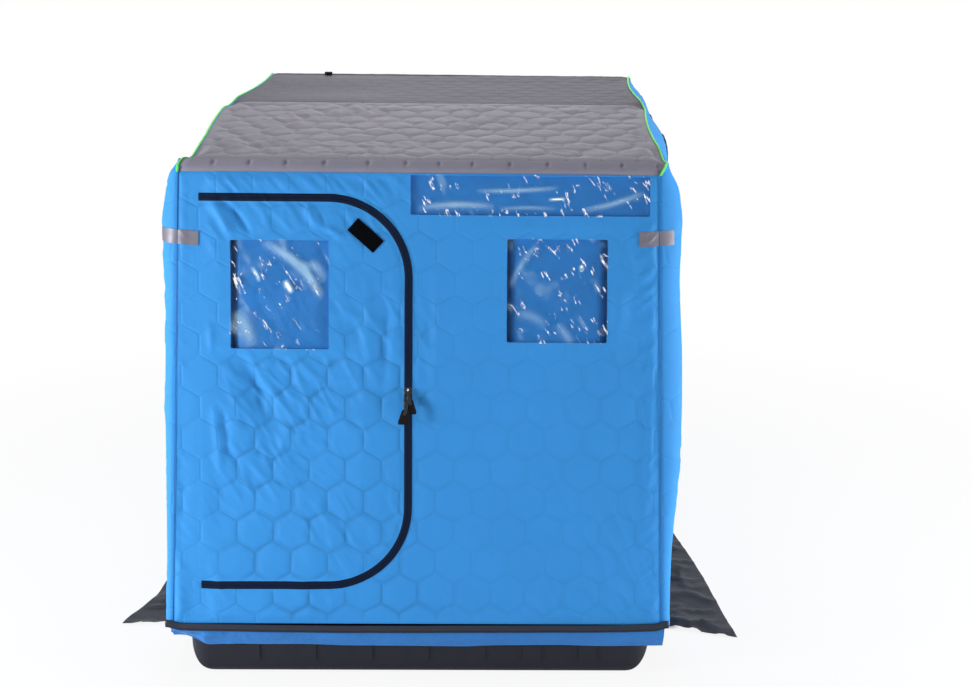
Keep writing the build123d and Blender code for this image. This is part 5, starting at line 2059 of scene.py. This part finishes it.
# --------------------------------------------------------------------------- trim and skirts
@dataclass
class Trim:
    """Reflective patches, the base zipper, the hem and the ground skirts."""

    form: HutForm
    rear: RearWall
    walls: dict[int, SideWall]
    patches: tuple[tuple[int, Pair, Pair, float], ...] = (
        (-1, (1.398, 1.442), (-0.068, 0.050), 0.07), (1, (1.404, 1.450), (-0.066, 0.028), 0.05),
    )
    hem_length: float = 0.088
    hem_inset: float = 14 * MM
    hem_shorter: float = 32 * MM
    skirt_lap: float = 14 * MM
    zip_sag: float = 9 * MM

    def build(self) -> None:
        """Makes every piece."""
        self.build_patches()
        self.build_base_zipper()
        self.build_hem()
        self.build_side_skirts()
        self.build_front_skirt()

    def build_patches(self) -> None:
        """Makes the two reflective patches, each wrapped round its upright corner."""
        form = self.form
        for side, heights, girths, tilt in self.patches:
            grid = lattice(np.linspace(*girths, 30), np.linspace(*heights, 15))
            grid[..., 1] += tilt * (grid[..., 0] - girths[0])
            pattern = Pattern.whole(grid)
            girth, height = pattern.points.T
            flat = form.side_place(girth, height, side)
            on_wall = np.stack([flat[:, 0], form.up_wall(height)], 1)
            on_side = np.stack([girth + form.rear_line(height), height], 1)
            rise = np.where(girth < 0, self.rear.height(on_wall), self.walls[side].height(on_side))
            rise = np.maximum(rise, -0.5 * MM) + 2.2 * MM
            rise += 0.5 * MM * noise(girth, height, 0.03, 55)
            sew(f"reflective_patch_{side_name(side)}", pattern,
                lambda p, r=rise, k=side: form.side_place(p[:, 0], p[:, 1], k, r),
                Stock(Palette.REFLECTOR, "reflective_tape", 1.2 * MM),
                ["reflective_patches"] if side > 0 else [], flip=side < 0)

    def build_base_zipper(self) -> None:
        """Makes the zipper along the foot of the rear wall, which sags a little."""
        form = self.form
        half = form.half_base - 2 * MM
        x = np.linspace(-half, half, 260)
        sag = -self.zip_sag * (1 - (x / half) ** 2) + 3.0 * MM * noise(x, 0 * x, 0.22, 61)
        lift = 10 * MM * smooth(np.abs(x), half - 0.05, half)
        path = np.stack([x, form.rear_y - 5 * MM + 0 * x, form.base_height - 8 * MM + sag + lift], 1)
        out, up = np.array([0, -1.0, 0]), np.array([0, 0, 1.0])
        tape = np.array([(-12, -4), (-12, 0.5), (-11, 1.4), (-4, 1.8), (-2.6, 3.4), (-1.2, 3.8), (-0.7, 2.6),
                         (0.7, 2.6), (1.2, 3.8), (2.6, 3.4), (4, 1.8), (11, 1.4), (12, 0.5), (12, -4)]) * MM
        made = sweep("base_zipper_band", path, up, out, tape)
        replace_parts(dress(made, Palette.BASE_ZIPPER), "rear_base_zipper")
        coil = circle(0.9 * MM, 8)
        line = sweep("base_zipper_coil", path + np.array([0, -3.1 * MM, 0]), up, out, coil)
        dress(line, Palette.COIL)

    def build_hem(self) -> None:
        """Makes the hem from the base zipper down over the sled, rumpled at its left end."""
        form = self.form
        half = form.half_base - self.hem_inset
        x = np.linspace(-half, half, 270)
        grid = lattice(x, np.linspace(0, 1, 22))
        u, v = grid[..., 0], grid[..., 1]
        drop = 76 * MM + 6 * MM * noise(x, 0 * x, 0.16, 65) - self.hem_shorter * smooth(-x, 0.67, 0.75)
        depth = 4 * MM + v * 38 * MM
        rumple = smooth(-u, 0.45, 0.75)
        wave = 3 * MM * noise(u, v * 0.1, 0.11, 66) + rumple * 9 * MM * (ridged(u, v * 0.12, 0.07, 67) - 0.5)
        z = form.base_height - 14 * MM - v * drop[:, None] - 6 * MM * (1 - (u / half) ** 2)
        y = form.rear_y + depth - (5 * MM + wave) * np.sin(np.pi * np.clip(v, 0, 0.8)) - 2 * MM
        pattern = Pattern.whole(grid * np.array([1, self.hem_length]))
        places = np.stack([u, y, z], -1).reshape(-1, 3)
        sew("rear_hem_cloth", pattern, lambda p: places, Stock(Palette.HEM, "blue_cloth", 3 * MM),
            ["rear_hem"], flip=True)

    def build_side_skirts(self) -> None:
        """Makes the skirts that lie on the ground beside the two side walls."""
        form = self.form
        outer = np.array([(1.082, 0.302), (1.070, 0.400), (1.058, 0.530), (1.037, 0.775), (1.016, 0.947),
                          (0.976, 1.202), (0.972, 1.760), (0.988, 2.480)])
        for side in (-1, 1):
            edge, _ = evenly(outer, np.ones_like(outer), 16 * MM)
            if side < 0:
                near = 1 - smooth(edge[:, 1], 0.3, 1.2)
                narrower = 0.012 * near + 0.042 * smooth(edge[:, 1], 0.32, 0.56) * near
                edge = edge - np.stack([narrower, -0.085 * near], 1)
            count = len(edge)
            inner_depth = np.linspace(form.lift_depth + 0.01, form.foot[0], count)
            inner = np.stack([form.half_width(inner_depth, 0 * inner_depth) - self.skirt_lap, inner_depth], 1)
            share = np.linspace(0, 1, 20)[:, None]
            flat = inner[:, None] * (1 - share) + edge[:, None] * share
            self.lay(f"skirt_{side_name(side)}", flat, side, 101 + side)

    def lay(self, node: str, flat: Array, side: int, seed: int) -> None:
        """Lays a skirt on the ground with wrinkles that never go below it.

        Args:
            node: CAD node that it stands for.
            flat: columns by rows by 2 points, outward distance and depth.
            side: 1 for the right and -1 for the left.
            seed: number of the wrinkle pattern.
        """
        pattern = Pattern.whole(flat)
        u, v = pattern.points.T
        share = np.tile(np.linspace(0, 1, flat.shape[1]), flat.shape[0])
        wrinkle = ridged(u, v, 0.085, seed) ** 2 * 15 * MM + ridged(u, v, 0.21, seed + 5) ** 2 * 16 * MM
        lift = 5 * MM + wrinkle * (0.10 + 0.75 * np.sin(np.pi * np.clip(share, 0.02, 0.96)))
        places = np.stack([side * u, v + self.form.rear_y, lift], 1)
        sew(f"{node}_cloth", pattern, lambda p: places, Stock(Palette.SKIRT, "black_skirt", 1.8 * MM),
            [node], flip=side < 0)

    def build_front_skirt(self) -> None:
        """Makes the skirt that lies on the ground before the front wall."""
        form = self.form
        wide = float(form.half_width(np.array([form.foot[0]]), np.array([0.0]))[0])
        depth = np.linspace(form.foot[0] - 16 * MM, form.foot[0] + 0.149, 15)
        share = np.linspace(-1, 1, 130)
        reach = wide + 0.118 * (1 - 0.4 * (depth - depth[0]) / 0.155)
        u = share[:, None] * reach[None]
        v = np.broadcast_to(depth, u.shape)
        self.lay("skirt_front", np.stack([u, v], -1), 1, 120)


# --------------------------------------------------------------------------- frame and studio
@dataclass
class TubeFrame:
    """The rigid CAD nodes, which keep their shape and get their finishes."""

    nodes: tuple[tuple[Finish, tuple[str, ...]], ...] = (
        (Palette.TUBE, ("rear_hoop", "middle_hoop", "front_hoop", "ground_hoop")),
        (Palette.BRACKET, ("pivot_bracket_left", "pivot_bracket_right")),
        (Palette.SLED, ("sled_tub",)),
    )

    def dress(self) -> None:
        """Puts each finish on its nodes."""
        for finish, names in self.nodes:
            for name in names:
                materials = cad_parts[name].data.materials
                materials.clear()
                materials.append(finish.material())
                log.info("%s: finished as %s", name, finish.name)


class Light(Enum):
    """The lamps: place, aim, width and power."""

    LEFT = ((-3.6, -2.7, 1.2), (-0.1, -0.6, 0.8), 1.0, 134.0)
    RIGHT = ((4.6, -1.9, 1.1), (0.3, -0.9, 0.8), 1.4, 165.0)
    TOP = ((-0.2, 0.0, 5.0), (0.0, 0.2, 0.8), 2.4, 72.0)
    BACK = ((0.0, 4.6, 3.4), (0.0, 0.6, 1.0), 3.2, 50.0)


@dataclass
class Studio:
    """Floor, backdrop, lamps and camera."""

    form: HutForm
    eye: tuple[float, float, float] = (0.292, -3.495, 2.028)
    pitch: float = 0.194
    turn: float = -0.013
    roll: float = -0.0105
    lens: float = 44.04
    shift: Pair = (-0.0459, -0.070)
    floor_size: float = 60.0
    floor_white: float = 0.88
    ambient: float = 0.34
    sky: tuple[float, float, float, float] = (0.97, 0.985, 1.0, 1)
    paper: tuple[float, float, float, float] = (0.86, 0.86, 0.87, 1)

    def build(self) -> None:
        """Makes everything that isn't part of the hut."""
        self.build_floor()
        self.build_world()
        for light in Light:
            self.build_lamp(light)
        self.build_camera()

    def build_floor(self) -> None:
        """Makes a pale floor that the camera sees as nearly white, with its shadows kept."""
        half = self.floor_size / 2
        corners = np.array([(-half, -half, 0), (half, -half, 0), (half, half, 0), (-half, half, 0)])
        floor = make_mesh("studio_floor", corners, [np.array([[0, 1, 2, 3]])], corners[:, :2])
        g = Graph("studio_floor")
        paper = g.node("BsdfDiffuse", {}, {"Color": self.paper})
        white = g.node("Emission", {}, {"Color": (1, 1, 1, 1), "Strength": 1.0})
        away = g.node("VectorMath", {"operation": "LENGTH"}, {0: g.place()}, "Value")
        share = away.step(1.5, 4.0) * (1 - self.floor_white) + self.floor_white
        across, along, _ = g.split(g.place())
        indoors = (1 - abs(across).step(0.86, 0.90)) * along.step(-0.95, -0.90)
        indoors = indoors * (1 - along.step(1.18, 1.22))
        seen = g.node("LightPath", {}, {}, "Is Camera Ray") * share * (1 - indoors)
        floor.data.materials.append(g.close(g.node("MixShader", {}, {0: seen, 1: paper, 2: white})))

    def build_world(self) -> None:
        """Makes a world that is white to look at and lights softly."""
        g = Graph("studio_world", world=True)
        kinds = ("Camera", "Glossy", "Transmission")
        rays = [g.node("LightPath", {}, {}, f"Is {kind} Ray") for kind in kinds]
        soft = g.node("Background", {}, {"Color": self.sky, "Strength": self.ambient})
        white = g.node("Background", {}, {"Color": (1, 1, 1, 1), "Strength": 1.0})
        seen = rays[0].most(rays[1]).most(rays[2])
        mixed = g.node("MixShader", {}, {0: seen, 1: soft, 2: white})
        g.node("OutputWorld", {}, {"Surface": mixed})
        bpy.context.scene.world = g.material

    def build_lamp(self, light: Light) -> None:
        """Makes one square lamp, aimed at a point of the hut."""
        place, aim, size, power = light.value
        data = bpy.data.lights.new(f"lamp_{light.name.lower()}", "AREA")
        data.shape, data.size, data.energy = "SQUARE", size, power
        lamp = bpy.data.objects.new(data.name, data)
        lamp.location = place
        lamp.rotation_euler = (Vector(aim) - Vector(place)).to_track_quat("-Z", "Y").to_euler()
        bpy.context.scene.collection.objects.link(lamp)

    def build_camera(self) -> None:
        """Makes the camera behind the hut, level with its roof and looking down a little."""
        data = bpy.data.cameras.new("camera")
        data.sensor_width, data.lens = 36.0, self.lens
        data.shift_x, data.shift_y = self.shift
        camera = bpy.data.objects.new("camera", data)
        camera.location = (self.eye[0], self.form.rear_y + self.eye[1], self.eye[2])
        camera.rotation_euler = (math.pi / 2 - self.pitch, self.roll, self.turn)
        bpy.context.scene.collection.objects.link(camera)
        bpy.context.scene.camera = camera


def main() -> None:
    """Builds the hut's looks round the CAD frame, then the studio."""
    logging.basicConfig(level=logging.INFO, format="%(message)s")
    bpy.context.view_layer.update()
    bpy.context.scene.view_settings.view_transform = "Standard"
    form = HutForm(rear_y=float(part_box("rear_wall_right")[0].y))
    rear = RearWall(form)
    walls = {side: SideWall(form, side) for side in (-1, 1)}
    rear.build()
    for wall in walls.values():
        wall.build()
    Roof(form).build()
    FrontWall(form).build()
    Trim(form, rear, walls).build()
    TubeFrame().dress()
    Studio(form).build()


if __name__ == "__main__":
    main()
